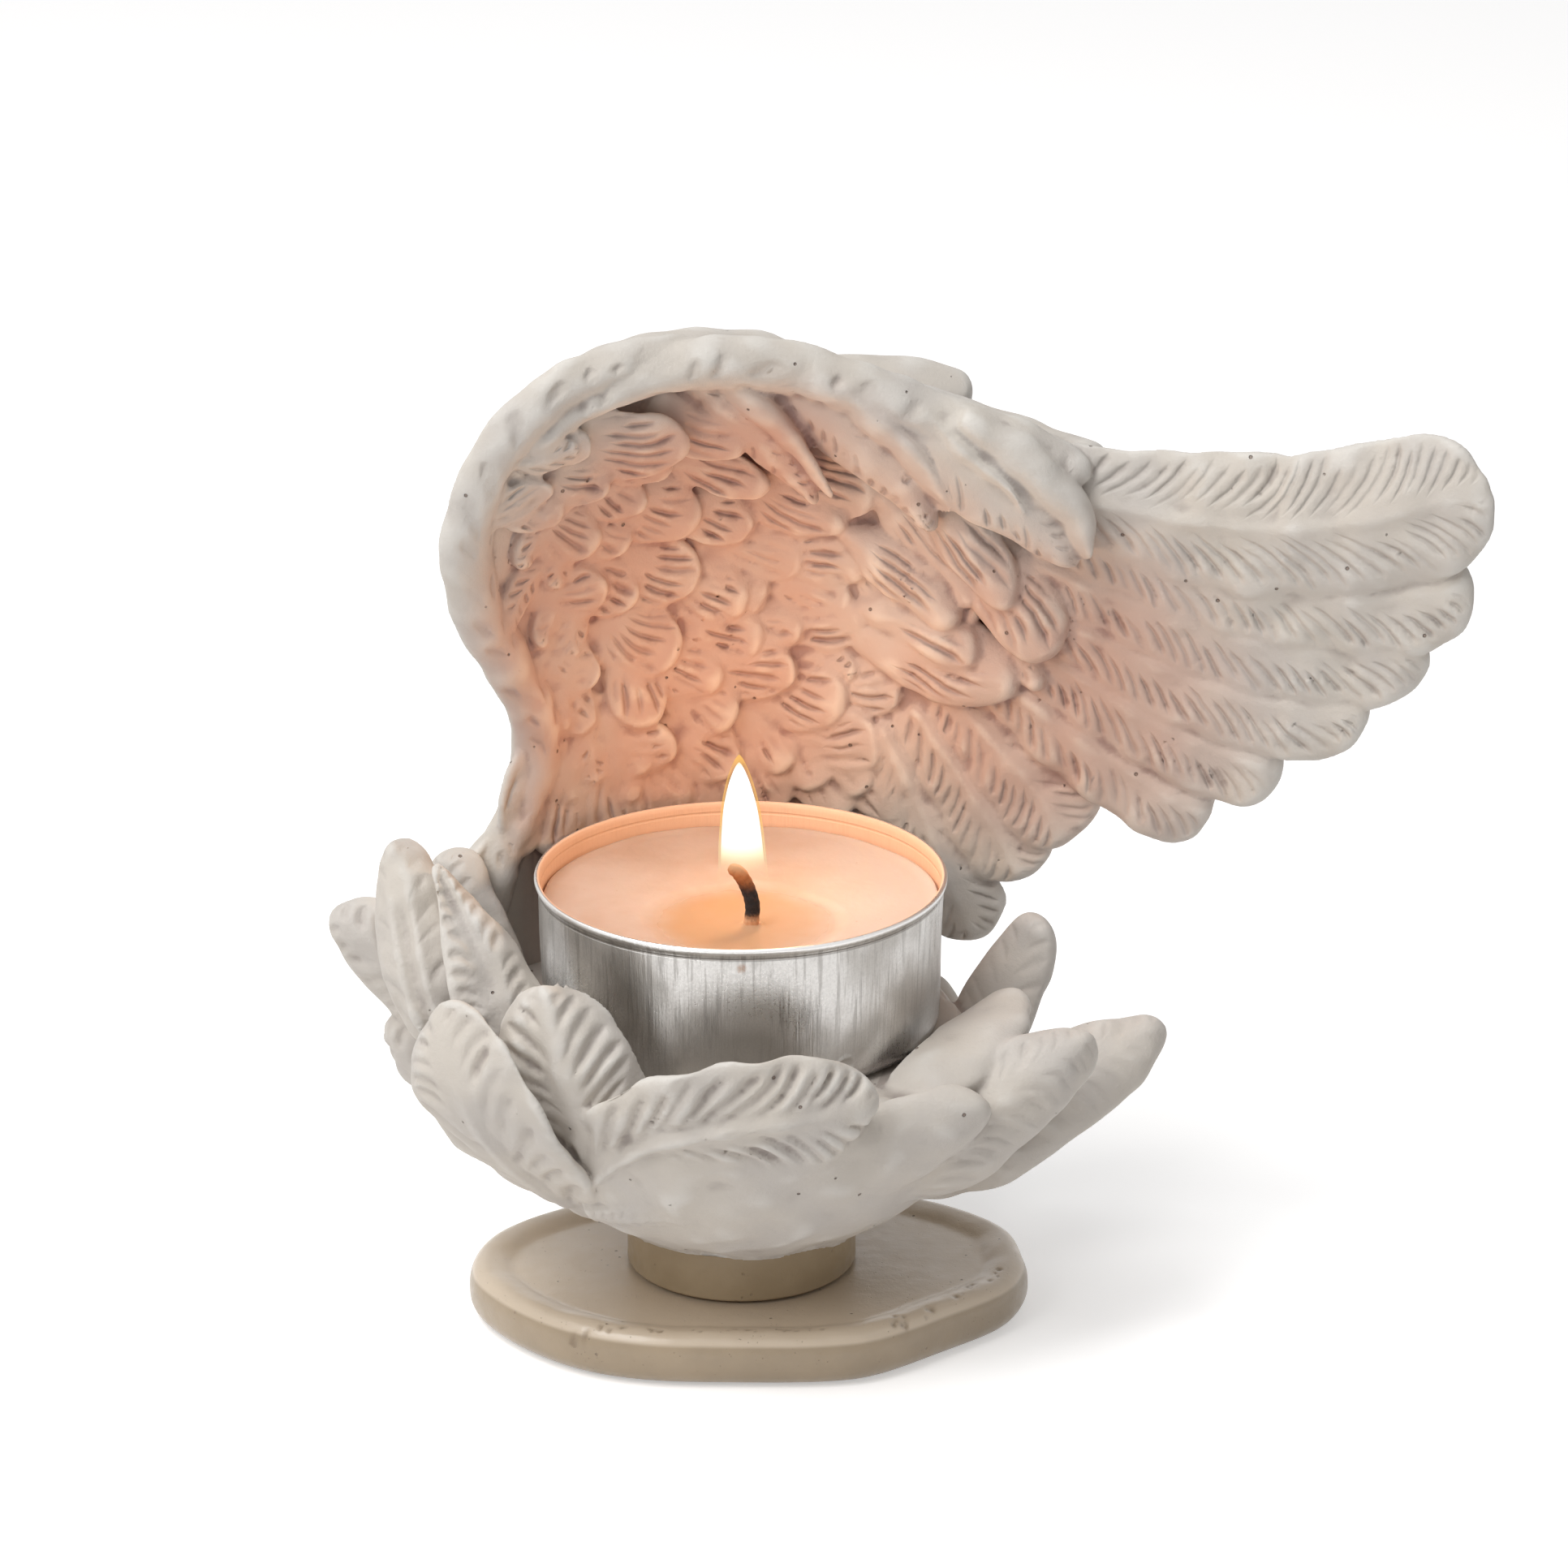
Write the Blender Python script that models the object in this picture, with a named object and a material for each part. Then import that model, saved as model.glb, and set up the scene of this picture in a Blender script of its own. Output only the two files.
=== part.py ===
# Angel candle holder: a feathered bowl with one wing, on a collar and a plate, and a tealight in it.
# Sizes are in millimetres here and become metres when a mesh is made. +Z is up, +X is the wing's way.
import math
import bpy
import numpy as np

for item in list(bpy.data.objects):
    bpy.data.objects.remove(item, do_unlink=True)

# Driving sizes
CLEARANCE = 0.3
PLATE_THICKNESS = 5.0
PLATE_LIP = 0.7
COLLAR_RADIUS = 10.8
COLLAR_HEIGHT = 5.1
FLOOR_HEIGHT = 18.4
TEALIGHT_RADIUS = 19.0
TEALIGHT_HEIGHT = 14.5
TEALIGHT_TAPER = 0.6
CUP_WALL = 0.6
WAX_BELOW_RIM = 2.5
MELT_POOL_RADIUS = 8.8
MELT_POOL_DEPTH = 0.3
WICK_RADIUS = 0.62
WICK_HEIGHT = 5.4
WICK_PLACE = (1.0, -6.4)
CLIP_RADIUS = 4.5
CLIP_THICKNESS = 0.5
CLIP_NECK_HEIGHT = 3.0
CLIP_NECK_WALL = 0.5
SEAT_MARGIN = 0.9
CASTING_TRIANGLES = 9200

# Heights that follow from them
PLATE_FACE = PLATE_THICKNESS - PLATE_LIP
COLLAR_BASE = PLATE_FACE + CLEARANCE
CASTING_BASE = COLLAR_BASE + COLLAR_HEIGHT + CLEARANCE
CUP_BASE = CASTING_BASE + FLOOR_HEIGHT + CLEARANCE

# The feathers' places below are drawn for these sizes, and stretched to the driving ones
DRAWN_RADIUS = 19.0
CAST_FLOOR = 28.4
CAST_FOOT = 10.0
WIDE = TEALIGHT_RADIUS / DRAWN_RADIUS
TALL = FLOOR_HEIGHT / (CAST_FLOOR - CAST_FOOT)

# How finely the feathers are sampled, and the grid that joins them
STEP = 0.62
VOXEL = 0.62


def smooth(value):
    value = np.clip(value, 0.0, 1.0)
    return value * value * (3.0 - 2.0 * value)


def curveThrough(points, places):
    """A smooth curve through the points, read at places from 0 to 1 along its length."""
    points = np.asarray(points, float)
    ends = np.vstack([2 * points[0] - points[1], points, 2 * points[-1] - points[-2]])
    pieces = []
    t = np.linspace(0, 1, 24, endpoint=False)[:, None]
    for i in range(len(points) - 1):
        a, b, c, d = ends[i:i + 4]
        bend = (2 * a - 5 * b + 4 * c - d) * t ** 2 + (3 * b - a - 3 * c + d) * t ** 3
        pieces.append(0.5 * (2 * b + (c - a) * t + bend))
    dense = np.vstack(pieces + [points[-1:]])
    run = np.concatenate([[0], np.cumsum(np.linalg.norm(np.diff(dense, axis=0), axis=1))])
    at = np.asarray(places) * run[-1]
    return np.stack([np.interp(at, run, dense[:, k]) for k in range(dense.shape[1])], axis=1), run[-1]


def ringsToMesh(rings):
    """Rings of points, all the same length, become a closed tube with a point at each end."""
    count, around = rings.shape[:2]
    points = rings.reshape(-1, 3)
    index = np.arange(count * around).reshape(count, around)
    nextOne = np.roll(index, -1, axis=1)
    quads = np.stack([index[:-1], nextOne[:-1], nextOne[1:], index[1:]], axis=-1).reshape(-1, 4)
    faces = np.concatenate([quads[:, [0, 1, 2]], quads[:, [0, 2, 3]]])
    first = len(points)
    points = np.vstack([points, rings[0].mean(axis=0), rings[-1].mean(axis=0)])
    start = np.stack([nextOne[0], index[0], np.full(around, first)], axis=1)
    end = np.stack([index[-1], nextOne[-1], np.full(around, first + 1)], axis=1)
    return points, np.concatenate([faces, start, end])


def outward(points, faces):
    corners = points[faces]
    volume = np.einsum("ij,ij->i", corners[:, 0], np.cross(corners[:, 1], corners[:, 2])).sum()
    return faces if volume > 0 else faces[:, ::-1]


solids = []


def addSolid(points, faces):
    solids.append((points, outward(points, faces)))


def randomOf(index, seed):
    """A repeatable number from 0 to 1 for each stroke."""
    return np.modf(np.abs(np.sin(index * 12.9898 + seed * 78.233) * 43758.5453))[0]


def strokes(along, across, edge, length, style, depth, pitch, seed):
    """Carved strokes on a feather: slanted barbs, or a fan from the root."""
    side = np.where(across < 0, 0.0, 37.0)
    if style == "fan":
        angle = np.arctan2(across, along + 0.35 * length)
        place = angle * length * 1.1 / pitch
        index = np.floor(place)
        pick = randomOf(index, seed)
        near = np.exp(-(((place - index - 0.5) * pitch) / 0.34) ** 2)
        part = along / length
        mask = smooth((part - 0.3 - 0.25 * pick) / 0.12) * smooth((0.93 - part) / 0.1)
        mask = mask * smooth((0.93 - np.abs(edge)) / 0.15)
    else:
        place = (along - np.abs(across) * 1.25) / pitch
        index = np.floor(place)
        pick = randomOf(index + side, seed)
        near = np.exp(-(((place - index - 0.5) * pitch) / 0.34) ** 2)
        mask = smooth((np.abs(edge) - 0.12 - 0.2 * pick) / 0.15)
        mask = mask * smooth((0.97 - 0.25 * pick - np.abs(edge)) / 0.15)
        mask = mask * smooth(along / length / 0.1)
    return depth * (0.35 + 0.65 * pick) * near * mask


def blade(spine, width, thick, face, root=0.6, tipAt=0.6, cup=0.0, dome=0.5, ridge=0.0,
          style="barbs", depth=0.0, pitch=1.8, seed=0, wave=0.0, point=0.0, curl=(0.0, 0.0),
          valley=(0.0, 0.0)):
    """One feather: a rounded strip along the spine, with its carved side towards face."""
    length = curveThrough(spine, [0.0])[1]
    count = max(8, int(length / STEP))
    s = 0.5 - 0.5 * np.cos(np.pi * np.linspace(0, 1, count))
    centre = curveThrough(spine, s)[0]
    tangent = np.gradient(centre, s, axis=0)
    tangent /= np.linalg.norm(tangent, axis=1)[:, None]
    face = np.asarray(face, float)
    if face.ndim == 1:
        face = np.stack([face, face])
    if len(face) != count:
        steps = np.linspace(0, 1, len(face))
        face = np.stack([np.interp(s, steps, face[:, k]) for k in range(3)], axis=1)
    side = np.cross(tangent, face)
    side /= np.linalg.norm(side, axis=1)[:, None]
    up = np.cross(side, tangent)
    nose = np.clip(s - tipAt, 0, 1) / (1 - tipAt)
    tip = (1 - point) * np.sqrt(np.clip(1 - nose ** 2, 0.0006, 1)) + point * np.clip(1 - nose, 0.02, 1) ** 0.9
    half = 0.5 * width * (root + (1 - root) * smooth(s / 0.45)) * tip
    ends = np.sqrt(np.clip(1 - (np.clip(s - 0.86, 0, 1) / 0.14) ** 2, 0.01, 1))
    ends = ends * np.sqrt(np.clip(1 - (np.clip(0.08 - s, 0, 1) / 0.08) ** 2, 0.01, 1))
    number = max(7, int(width / STEP))
    t = np.sin(0.5 * np.pi * np.linspace(-1, 1, number))
    across = half[:, None] * t
    edge = np.broadcast_to(t, across.shape)
    along = np.broadcast_to((s * length)[:, None], across.shape)
    body = 0.5 * thick * np.sqrt(np.clip(1 - np.abs(edge) ** 3, 0, 1)) * ends[:, None]
    bend = cup * edge ** 2 * (half / half.max())[:, None]
    bend = bend + wave * np.sin(along * 1.1 + seed) * np.abs(edge) ** 3
    bend = bend + curl[0] * np.clip(-edge, 0, 1) ** 2 + curl[1] * np.clip(edge, 0, 1) ** 2
    bend = bend - valley[1] * np.exp(-((edge - valley[0]) / 0.28) ** 2) * smooth(s / 0.3)[:, None]
    top = body + dome * (1 - edge ** 2) * ends[:, None]
    top = top + ridge * np.exp(-(across / 0.7) ** 2) * (1 - s[:, None]) ** 0.4
    if depth:
        top = top - strokes(along, across, edge, length, style, depth, pitch, seed) * ends[:, None]
    upper = centre[:, None] + side[:, None] * across[..., None] + up[:, None] * (top + bend)[..., None]
    lower = centre[:, None] + side[:, None] * across[..., None] + up[:, None] * (bend - body)[..., None]
    rings = np.concatenate([upper, lower[:, -2:0:-1]], axis=1)
    addSolid(*ringsToMesh(rings))


def lathe(profile, segments=96):
    """A closed solid of revolution from a profile of (radius, height) that starts and ends on the axis."""
    profile = np.asarray(profile, float)
    turn = np.linspace(0, 2 * np.pi, segments, endpoint=False)
    inner = profile[1:-1]
    rings = np.stack([inner[:, 0:1] * np.cos(turn), inner[:, 0:1] * np.sin(turn),
                      np.repeat(inner[:, 1:2], segments, axis=1)], axis=-1)
    points, faces = ringsToMesh(rings)
    points[-2] = (0, 0, profile[0, 1])
    points[-1] = (0, 0, profile[-1, 1])
    return points, outward(points, faces)


def revolve(profile, segments=96):
    """A closed ring-shaped solid from a loop of (radius, height)."""
    profile = np.asarray(profile, float)
    turn = np.linspace(0, 2 * np.pi, segments, endpoint=False)
    count = len(profile)
    points = np.stack([np.outer(profile[:, 0], np.cos(turn)), np.outer(profile[:, 0], np.sin(turn)),
                       np.repeat(profile[:, 1:2], segments, axis=1)], axis=-1).reshape(-1, 3)
    index = np.arange(count * segments).reshape(count, segments)
    over = np.roll(index, -1, axis=0)
    a, b = index, np.roll(index, -1, axis=1)
    c, d = np.roll(over, -1, axis=1), over
    quads = np.stack([a, b, c, d], axis=-1).reshape(-1, 4)
    faces = np.concatenate([quads[:, [0, 1, 2]], quads[:, [0, 2, 3]]])
    return points, outward(points, faces)


# The wing's inner face: how far back it lies at each place, before the feathers
BACK = 22.5
SHELL = 3.6


def wingDepth(x, z):
    left = np.clip((4 - x) / 31, 0, 1.2)
    top = np.clip((z - 60) / 31, 0, 1.1)
    right = np.clip((x - 6) / 60, 0, 1.05)
    return BACK - 15.5 * left ** 1.8 - 11 * top ** 1.5 * (1 - 0.8 * right) - 20.5 * right ** 1.25


def wingFace(x, z):
    step = 0.5
    across = (wingDepth(x + step, z) - wingDepth(x - step, z)) / (2 * step)
    upward = (wingDepth(x, z + step) - wingDepth(x, z - step)) / (2 * step)
    return np.stack([across, -np.ones_like(across), upward], axis=1)


def wingFeather(flat, width, lifts, back=False, tilt=0.0, **shape):
    """A feather laid on the wing along points (x, z), standing the lifts above it from root to tip."""
    s = np.linspace(0, 1, 12)
    line = curveThrough(flat, s)[0]
    x, z = line[:, 0], line[:, 1]
    lift = np.interp(s, np.linspace(0, 1, len(lifts)), lifts)
    face = wingFace(x, z) + (0, 0, tilt)
    if back:
        spine = np.stack([x, wingDepth(x, z) + SHELL + lift, z], axis=1)
        face = -face
    else:
        spine = np.stack([x, wingDepth(x, z) - lift, z], axis=1)
    blade(spine, width, face=face, **shape)


def wingShell():
    """The cupped plate that carries the coverts."""
    outline = [(-28.0, 33.0), (-26.5, 40.0), (-23.2, 43.5), (-21.6, 46.0), (-20.8, 49.5), (-21.5, 54.0),
               (-23.2, 57.5), (-25.2, 63.0), (-27.0, 68.0), (-27.0, 71.5), (-26.2, 76.0), (-24.0, 82.0),
               (-22.0, 85.3), (-19.0, 88.0), (-15.5, 90.2), (-11.0, 91.5), (-8.0, 91.8), (1.0, 91.2),
               (11.0, 87.5), (21.5, 84.0), (29.0, 81.8), (34.0, 79.0), (33.0, 70.0), (30.0, 62.0),
               (28.0, 54.0), (25.0, 47.0), (22.0, 41.0), (19.0, 35.0), (16.5, 29.0), (13.0, 23.0),
               (4.0, 20.5), (-8.0, 20.5), (-18.0, 21.5), (-25.0, 25.0), (-28.0, 33.0)]
    count = max(60, int(330 / STEP))
    rim = curveThrough(outline, np.linspace(0, 1, count, endpoint=False))[0]
    hub = np.array([0.0, 55.0])
    reach = np.sin(0.5 * np.pi * np.linspace(0.02, 1, max(16, int(34 / STEP))))
    flat = hub + reach[:, None, None] * (rim - hub)
    x, z = flat[..., 0], flat[..., 1]
    front = wingDepth(x.ravel(), z.ravel()).reshape(x.shape)
    gone = np.linalg.norm(flat - rim, axis=-1)
    near = np.sqrt(np.clip(1 - (1 - np.clip(gone / 1.9, 0, 1)) ** 2, 0.0004, 1))
    half = 0.5 * SHELL * near
    middle = front + 0.5 * SHELL
    ahead = np.stack([x, middle - half, z], axis=-1)
    behind = np.stack([x, middle + half, z], axis=-1)
    addSolid(*ringsToMesh(np.concatenate([ahead, behind[-2::-1]])))


def bowlBody():
    """The solid bowl under the feathers, lower at the back right."""
    profile = [(0, CAST_FOOT), (5, CAST_FOOT), (11.6, CAST_FOOT), (12.8, 10.4), (14.3, 11.2), (16.6, 12.6),
               (19.0, 14.4), (21.2, 16.8), (23.2, 19.6), (24.6, 22.6), (25.3, 25.0), (25.2, 27.0),
               (24.6, 28.3), (23.8, 28.7), (22.8, 28.6), (21.6, CAST_FLOOR), (20.6, CAST_FLOOR),
               (10, CAST_FLOOR), (0, CAST_FLOOR)]
    points, faces = lathe(curveThrough(profile, np.linspace(0, 1, 70))[0], 120)
    radius = np.hypot(points[:, 0], points[:, 1])
    turn = np.arctan2(points[:, 1], points[:, 0])
    low = np.clip(np.cos(turn - math.radians(35)), 0, 1) ** 1.5
    share = np.clip((radius - 20.4) / 4, 0, 1) * np.clip((points[:, 2] - 18) / 10, 0, 1)
    points[:, 2] -= 6.0 * low * share
    addSolid(points, faces)


# Crest: points (x, y, z), width, thickness, face, start of the tip, how pointed, dome, strokes' depth
CREST = [
    ([(-9, 9.5, 88), (-3, 11.5, 89.0), (2.6, 13.5, 88.6)], 5.6, 3.4, (0.0, -0.6, 0.8), 0.6, 0.0, 0.5, 0.0),
    ([(2, 15, 85.4), (11, 18.5, 84.2), (16, 19.5, 83.6), (21.4, 20.5, 82.4)], 7.6, 3.4, (0.0, -0.55, 0.8),
     0.8, 0.0, 0.6, 0.0),
    ([(-4.6, 11.4, 87.4), (0.4, 12.4, 83.0), (4.0, 13.6, 78.8), (7.2, 14.8, 74.2)], 6.6, 1.5,
     (-0.45, -1, -0.1), 0.35, 0.6, 0.5, 0.45),
    ([(-2.4, 10.6, 88.2), (2.2, 10.8, 84.6), (5.6, 11.8, 80.0), (8.0, 13.6, 75.2)], 3.4, 2.0,
     (0.35, -1, 0.3), 0.25, 0.9, 0.7, 0.0),
    ([(3.6, 11.6, 87.0), (9.4, 11.4, 82.6), (14.0, 11.4, 78.0), (18.0, 12.2, 72.6)], 8.0, 1.5,
     (-0.5, -1, 0.0), 0.35, 0.6, 0.6, 0.5),
    ([(8.2, 10.2, 86.8), (13.4, 9.8, 83.0), (16.8, 9.8, 78.8), (18.6, 11.2, 74.4)], 3.6, 2.2,
     (0.4, -1, 0.3), 0.25, 0.9, 0.8, 0.0),
    ([(13.4, 10.6, 85.0), (19.8, 9.4, 80.6), (25.6, 8.6, 76.0), (31.0, 8.8, 70.0)], 10.4, 1.6,
     (-0.4, -1, 0.1), 0.4, 0.55, 0.8, 0.35),
    ([(19.4, 9.8, 84.0), (26.0, 8.4, 80.2), (30.4, 7.8, 75.6), (31.4, 8.2, 70.8)], 5.4, 2.4,
     (0.45, -1, 0.3), 0.35, 0.5, 0.9, 0.0),
    ([(16.6, 9.4, 84.6), (20.6, 8.4, 81.0), (24.4, 7.6, 77.8), (26.0, 7.8, 75.0)], 2.4, 1.4,
     (0.1, -1, 0.4), 0.4, 0.8, 0.5, 0.0),
    ([(-6.0, 9.8, 90.0), (0.0, 10.2, 88.6), (6.4, 11.0, 86.2), (12.0, 11.0, 83.6)], 2.6, 1.8,
     (0.0, -0.8, 0.6), 0.4, 0.8, 0.5, 0.0),
    ([(10.0, 11.0, 87.0), (16.0, 10.4, 85.2), (22.0, 10.0, 83.0), (28.6, 9.6, 80.4)], 2.6, 1.8,
     (0.0, -0.8, 0.6), 0.4, 0.8, 0.5, 0.0),
]


def wingEdges():
    """Smooth bands along the wing's edge and crest, and the flaps that hang from the crest."""
    wingFeather([(-24.0, 34), (-21.8, 43), (-18.6, 49), (-19.8, 56), (-23.4, 64), (-24.6, 72), (-23.0, 79.5),
                 (-18.2, 86.0), (-10, 89.0), (-1, 89.2)], 5.2, [0.3, 0.2, 0.2, 0.3, 0.4, 0.7],
                thick=2.6, root=0.8, tipAt=0.9, dome=0.5, cup=-0.9)
    wingFeather([(-20, 82), (-14, 86.4), (-4, 89.0), (6, 87.6), (16, 84.0), (25, 80.8), (32, 78.6)], 5.6,
                [0.8, 1.4, 2.4, 3.4, 3.8, 2.8], thick=3.0, root=0.5, tipAt=0.85, dome=0.6, cup=-1.0)
    for i, (line, width, thick, face, tipAt, point, dome, depth) in enumerate(CREST):
        blade(line, width, thick, face, tipAt=tipAt, point=point, dome=dome, cup=-0.3, depth=depth,
              pitch=1.7, seed=150 + i)


# Coverts: tip x, tip z, way in degrees, length, width, lift at the tip
COVERTS = [
    (-4.5, 81.6, -5, 9.5, 6.6, 3.0), (2.5, 75.0, -35, 9.5, 4.4, 2.4), (-12.0, 77.0, -25, 6.0, 4.6, 1.9),
    (-9.0, 74.0, -40, 5.5, 4.2, 1.7), (-4.0, 71.5, -35, 7.5, 6.2, 1.9), (1.0, 70.0, -35, 6.5, 4.8, 1.8),
    (-13.5, 70.5, -40, 6.0, 5.2, 1.8), (-10.5, 70.0, -40, 5.5, 4.6, 1.4), (-12.5, 65.5, -10, 5.5, 4.8, 1.8),
    (-10.0, 64.0, -40, 6.0, 5.2, 1.5), (-4.0, 65.0, -30, 7.0, 6.2, 1.8), (0.5, 62.5, -30, 7.0, 6.0, 1.7),
    (10.0, 71.0, -25, 9.5, 4.4, 2.4), (12.0, 67.0, -15, 10.0, 6.4, 2.2), (2.0, 58.5, -25, 6.5, 5.2, 1.8),
    (12.0, 61.5, 5, 9.5, 5.4, 2.2), (-6.0, 58.0, -35, 7.0, 6.6, 1.8), (5.5, 55.5, -10, 7.5, 5.2, 2.2),
    (10.0, 52.5, -20, 8.5, 7.0, 1.9), (-13.5, 56.5, -40, 5.5, 4.6, 1.4), (-9.0, 51.0, -85, 7.0, 5.2, 1.8),
    (-0.5, 51.0, -35, 6.0, 5.2, 1.6), (-6.0, 48.5, -15, 7.0, 4.4, 1.8), (-0.5, 45.5, -45, 7.0, 5.4, 1.5),
    (4.5, 45.5, -60, 6.0, 4.6, 1.4), (13.5, 49.0, 0, 8.5, 6.6, 2.0), (7.5, 43.5, -75, 6.5, 5.4, 1.5),
    (16.5, 66.5, -50, 7.0, 3.6, 2.0), (15.5, 61.5, -50, 6.5, 3.6, 2.2), (11.0, 55.5, -25, 5.0, 3.2, 1.5),
    (17.5, 58.5, -20, 6.0, 3.8, 2.6), (-20.5, 69.5, -125, 7.0, 2.8, 1.3), (-22.0, 63.0, -120, 8.0, 2.8, 1.2),
    (-19.0, 60.5, -120, 7.5, 2.8, 1.1), (-20.0, 54.5, -112, 8.5, 2.8, 1.1), (-17.0, 52.0, -105, 8.0, 2.8, 1.1),
    (-18.5, 47.5, -108, 8.5, 2.8, 1.1), (-14.0, 46.0, -90, 8.0, 3.4, 1.2), (-10.5, 43.5, -85, 7.5, 3.6, 1.2),
    (-16.5, 44.5, -105, 7.0, 2.8, 1.0), (-17.5, 66.5, -110, 7.5, 3.2, 1.2), (-16.0, 59.0, -100, 7.0, 3.2, 1.1),
    (-16.5, 74.5, -35, 6.0, 4.0, 1.5), (-13.5, 82.0, -10, 4.0, 3.6, 1.6), (6.0, 66.5, -25, 8.0, 5.4, 1.6),
    (-6.5, 78.0, -30, 7.0, 4.6, 1.7), (-14.5, 51.5, -70, 6.5, 4.4, 1.3), (-5.5, 42.0, -60, 7.0, 5.0, 1.3),
    (0.5, 40.5, -65, 6.5, 5.0, 1.2), (12.0, 43.5, -55, 7.0, 5.4, 1.6), (6.0, 59.5, -15, 6.5, 4.6, 1.7),
    (-9.0, 46.5, -60, 6.5, 4.4, 1.4), (15.5, 54.0, -10, 7.0, 5.0, 1.7), (-2.0, 54.5, -35, 6.5, 5.0, 1.6),
    (-14.6, 82.4, 8, 7.0, 3.4, 1.6), (-17.0, 78.4, 15, 7.0, 3.6, 1.5), (10.5, 62.4, -25, 7.0, 5.4, 2.0),
    (19.0, 54.5, -20, 6.5, 4.4, 1.6), (0.5, 80.0, -30, 8.0, 4.6, 2.6), (-18.6, 74.4, -150, 7.0, 3.0, 1.5),
]

# Mid feathers in front of the primaries: points (x, z), width, lift at the tip
MIDDLES = [
    ([(9.0, 71.0), (15.0, 67.0), (20.2, 62.0)], 5.6, 3.4),
    ([(11.0, 62.5), (16.0, 61.5), (22.4, 58.6)], 6.0, 3.4),
    ([(10.5, 60.0), (18.0, 58.6), (26.0, 56.2)], 8.4, 3.0),
    ([(16.0, 76.0), (21.0, 71.0), (25.0, 64.6)], 5.6, 4.6),
    ([(21.0, 70.0), (25.0, 66.0), (28.6, 59.4)], 7.6, 4.2),
    ([(24.0, 61.0), (26.5, 58.6), (28.2, 56.4)], 3.6, 2.6),
    ([(12.0, 76.0), (17.0, 70.6), (21.8, 64.0)], 6.6, 2.4),
    ([(20.0, 73.0), (24.0, 68.0), (26.4, 63.0)], 5.0, 2.8),
]

# Primaries: points (x, z), width
PRIMARIES = [
    ([(27.0, 77.0), (38.0, 75.2), (48.0, 74.8), (58.0, 77.0), (67.3, 81.0)], 13.0),
    ([(27.0, 73.5), (38.0, 70.2), (48.0, 68.6), (58.0, 68.9), (66.3, 71.6)], 10.6),
    ([(26.0, 69.5), (36.0, 66.0), (46.0, 63.4), (55.0, 63.1), (62.6, 65.2)], 10.2),
    ([(25.0, 65.5), (34.0, 61.6), (43.0, 58.4), (51.0, 57.2), (57.6, 58.6)], 10.0),
    ([(24.0, 61.5), (32.0, 57.4), (39.0, 54.0), (45.0, 51.8), (50.2, 50.9)], 9.4),
    ([(22.5, 58.0), (29.0, 53.4), (35.0, 49.6), (40.0, 46.8), (44.0, 45.4)], 9.0),
    ([(19.0, 55.0), (24.0, 50.0), (28.0, 45.6), (31.4, 41.0)], 9.4),
    ([(16.0, 53.0), (20.6, 47.0), (24.0, 41.6), (27.0, 36.4)], 8.8),
    ([(13.0, 51.0), (17.0, 43.0), (20.0, 36.0), (22.6, 29.6)], 8.4),
]


def wingFeathers():
    for i, (tipX, tipZ, way, length, width, lift) in enumerate(COVERTS):
        slim = width < 3.5
        length = length * (1.15 if slim else 1.3)
        lift = lift + 0.16 * max(0.0, tipZ - 70)
        turn = math.radians(way)
        root = (tipX - length * math.cos(turn), tipZ - length * math.sin(turn))
        middle = (tipX - 0.5 * length * math.cos(turn + 0.14), tipZ - 0.5 * length * math.sin(turn + 0.14))
        wingFeather([root, middle, (tipX, tipZ)], width * 1.22, [-0.2, 0.45 * lift, 0.85 * lift, lift],
                    thick=1.3, root=0.65, tipAt=0.5, dome=0.3, cup=-0.25, ridge=0.15,
                    style="barbs" if slim else "fan", depth=0.6, pitch=1.25, seed=i)
    for i, (line, width, lift) in enumerate(MIDDLES):
        wingFeather(line, width * 1.1, [0.6, 0.7 * lift, 0.95 * lift, lift], thick=1.7, root=0.5, tipAt=0.5,
                    dome=0.5, cup=-0.5, ridge=0.2, depth=0.7, pitch=1.6, seed=40 + i, tilt=0.1)
    for i, (line, width) in enumerate(PRIMARIES):
        lift = 2.3 - 0.2 * i
        wingFeather(line, width * 1.04, [lift - 0.3, lift - 0.2, lift], thick=2.0, root=0.66, tipAt=0.84,
                    dome=0.25, ridge=0.6, cup=-0.3, depth=0.8, pitch=1.75, seed=60 + i, wave=0.22, tilt=0.24)
    # Long plain feathers on the wing's back
    for row in range(4):
        for i in range(5):
            x = -14 + 9.0 * i + 3 * (row % 2)
            z = 79 - 10.5 * row - 1.3 * i
            if (x > 24 and z < 56) or (i == 0 and row == 0):
                continue
            wingFeather([(x - 5, z + 4), (x, z), (x + 6, z - 7)], 9.5, [0.1, 0.8, 1.1], back=True, thick=1.8,
                        root=0.6, tipAt=0.6, dome=0.5, ridge=0.3, depth=0.4, pitch=2.2, seed=80 + 5 * row + i)


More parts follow.
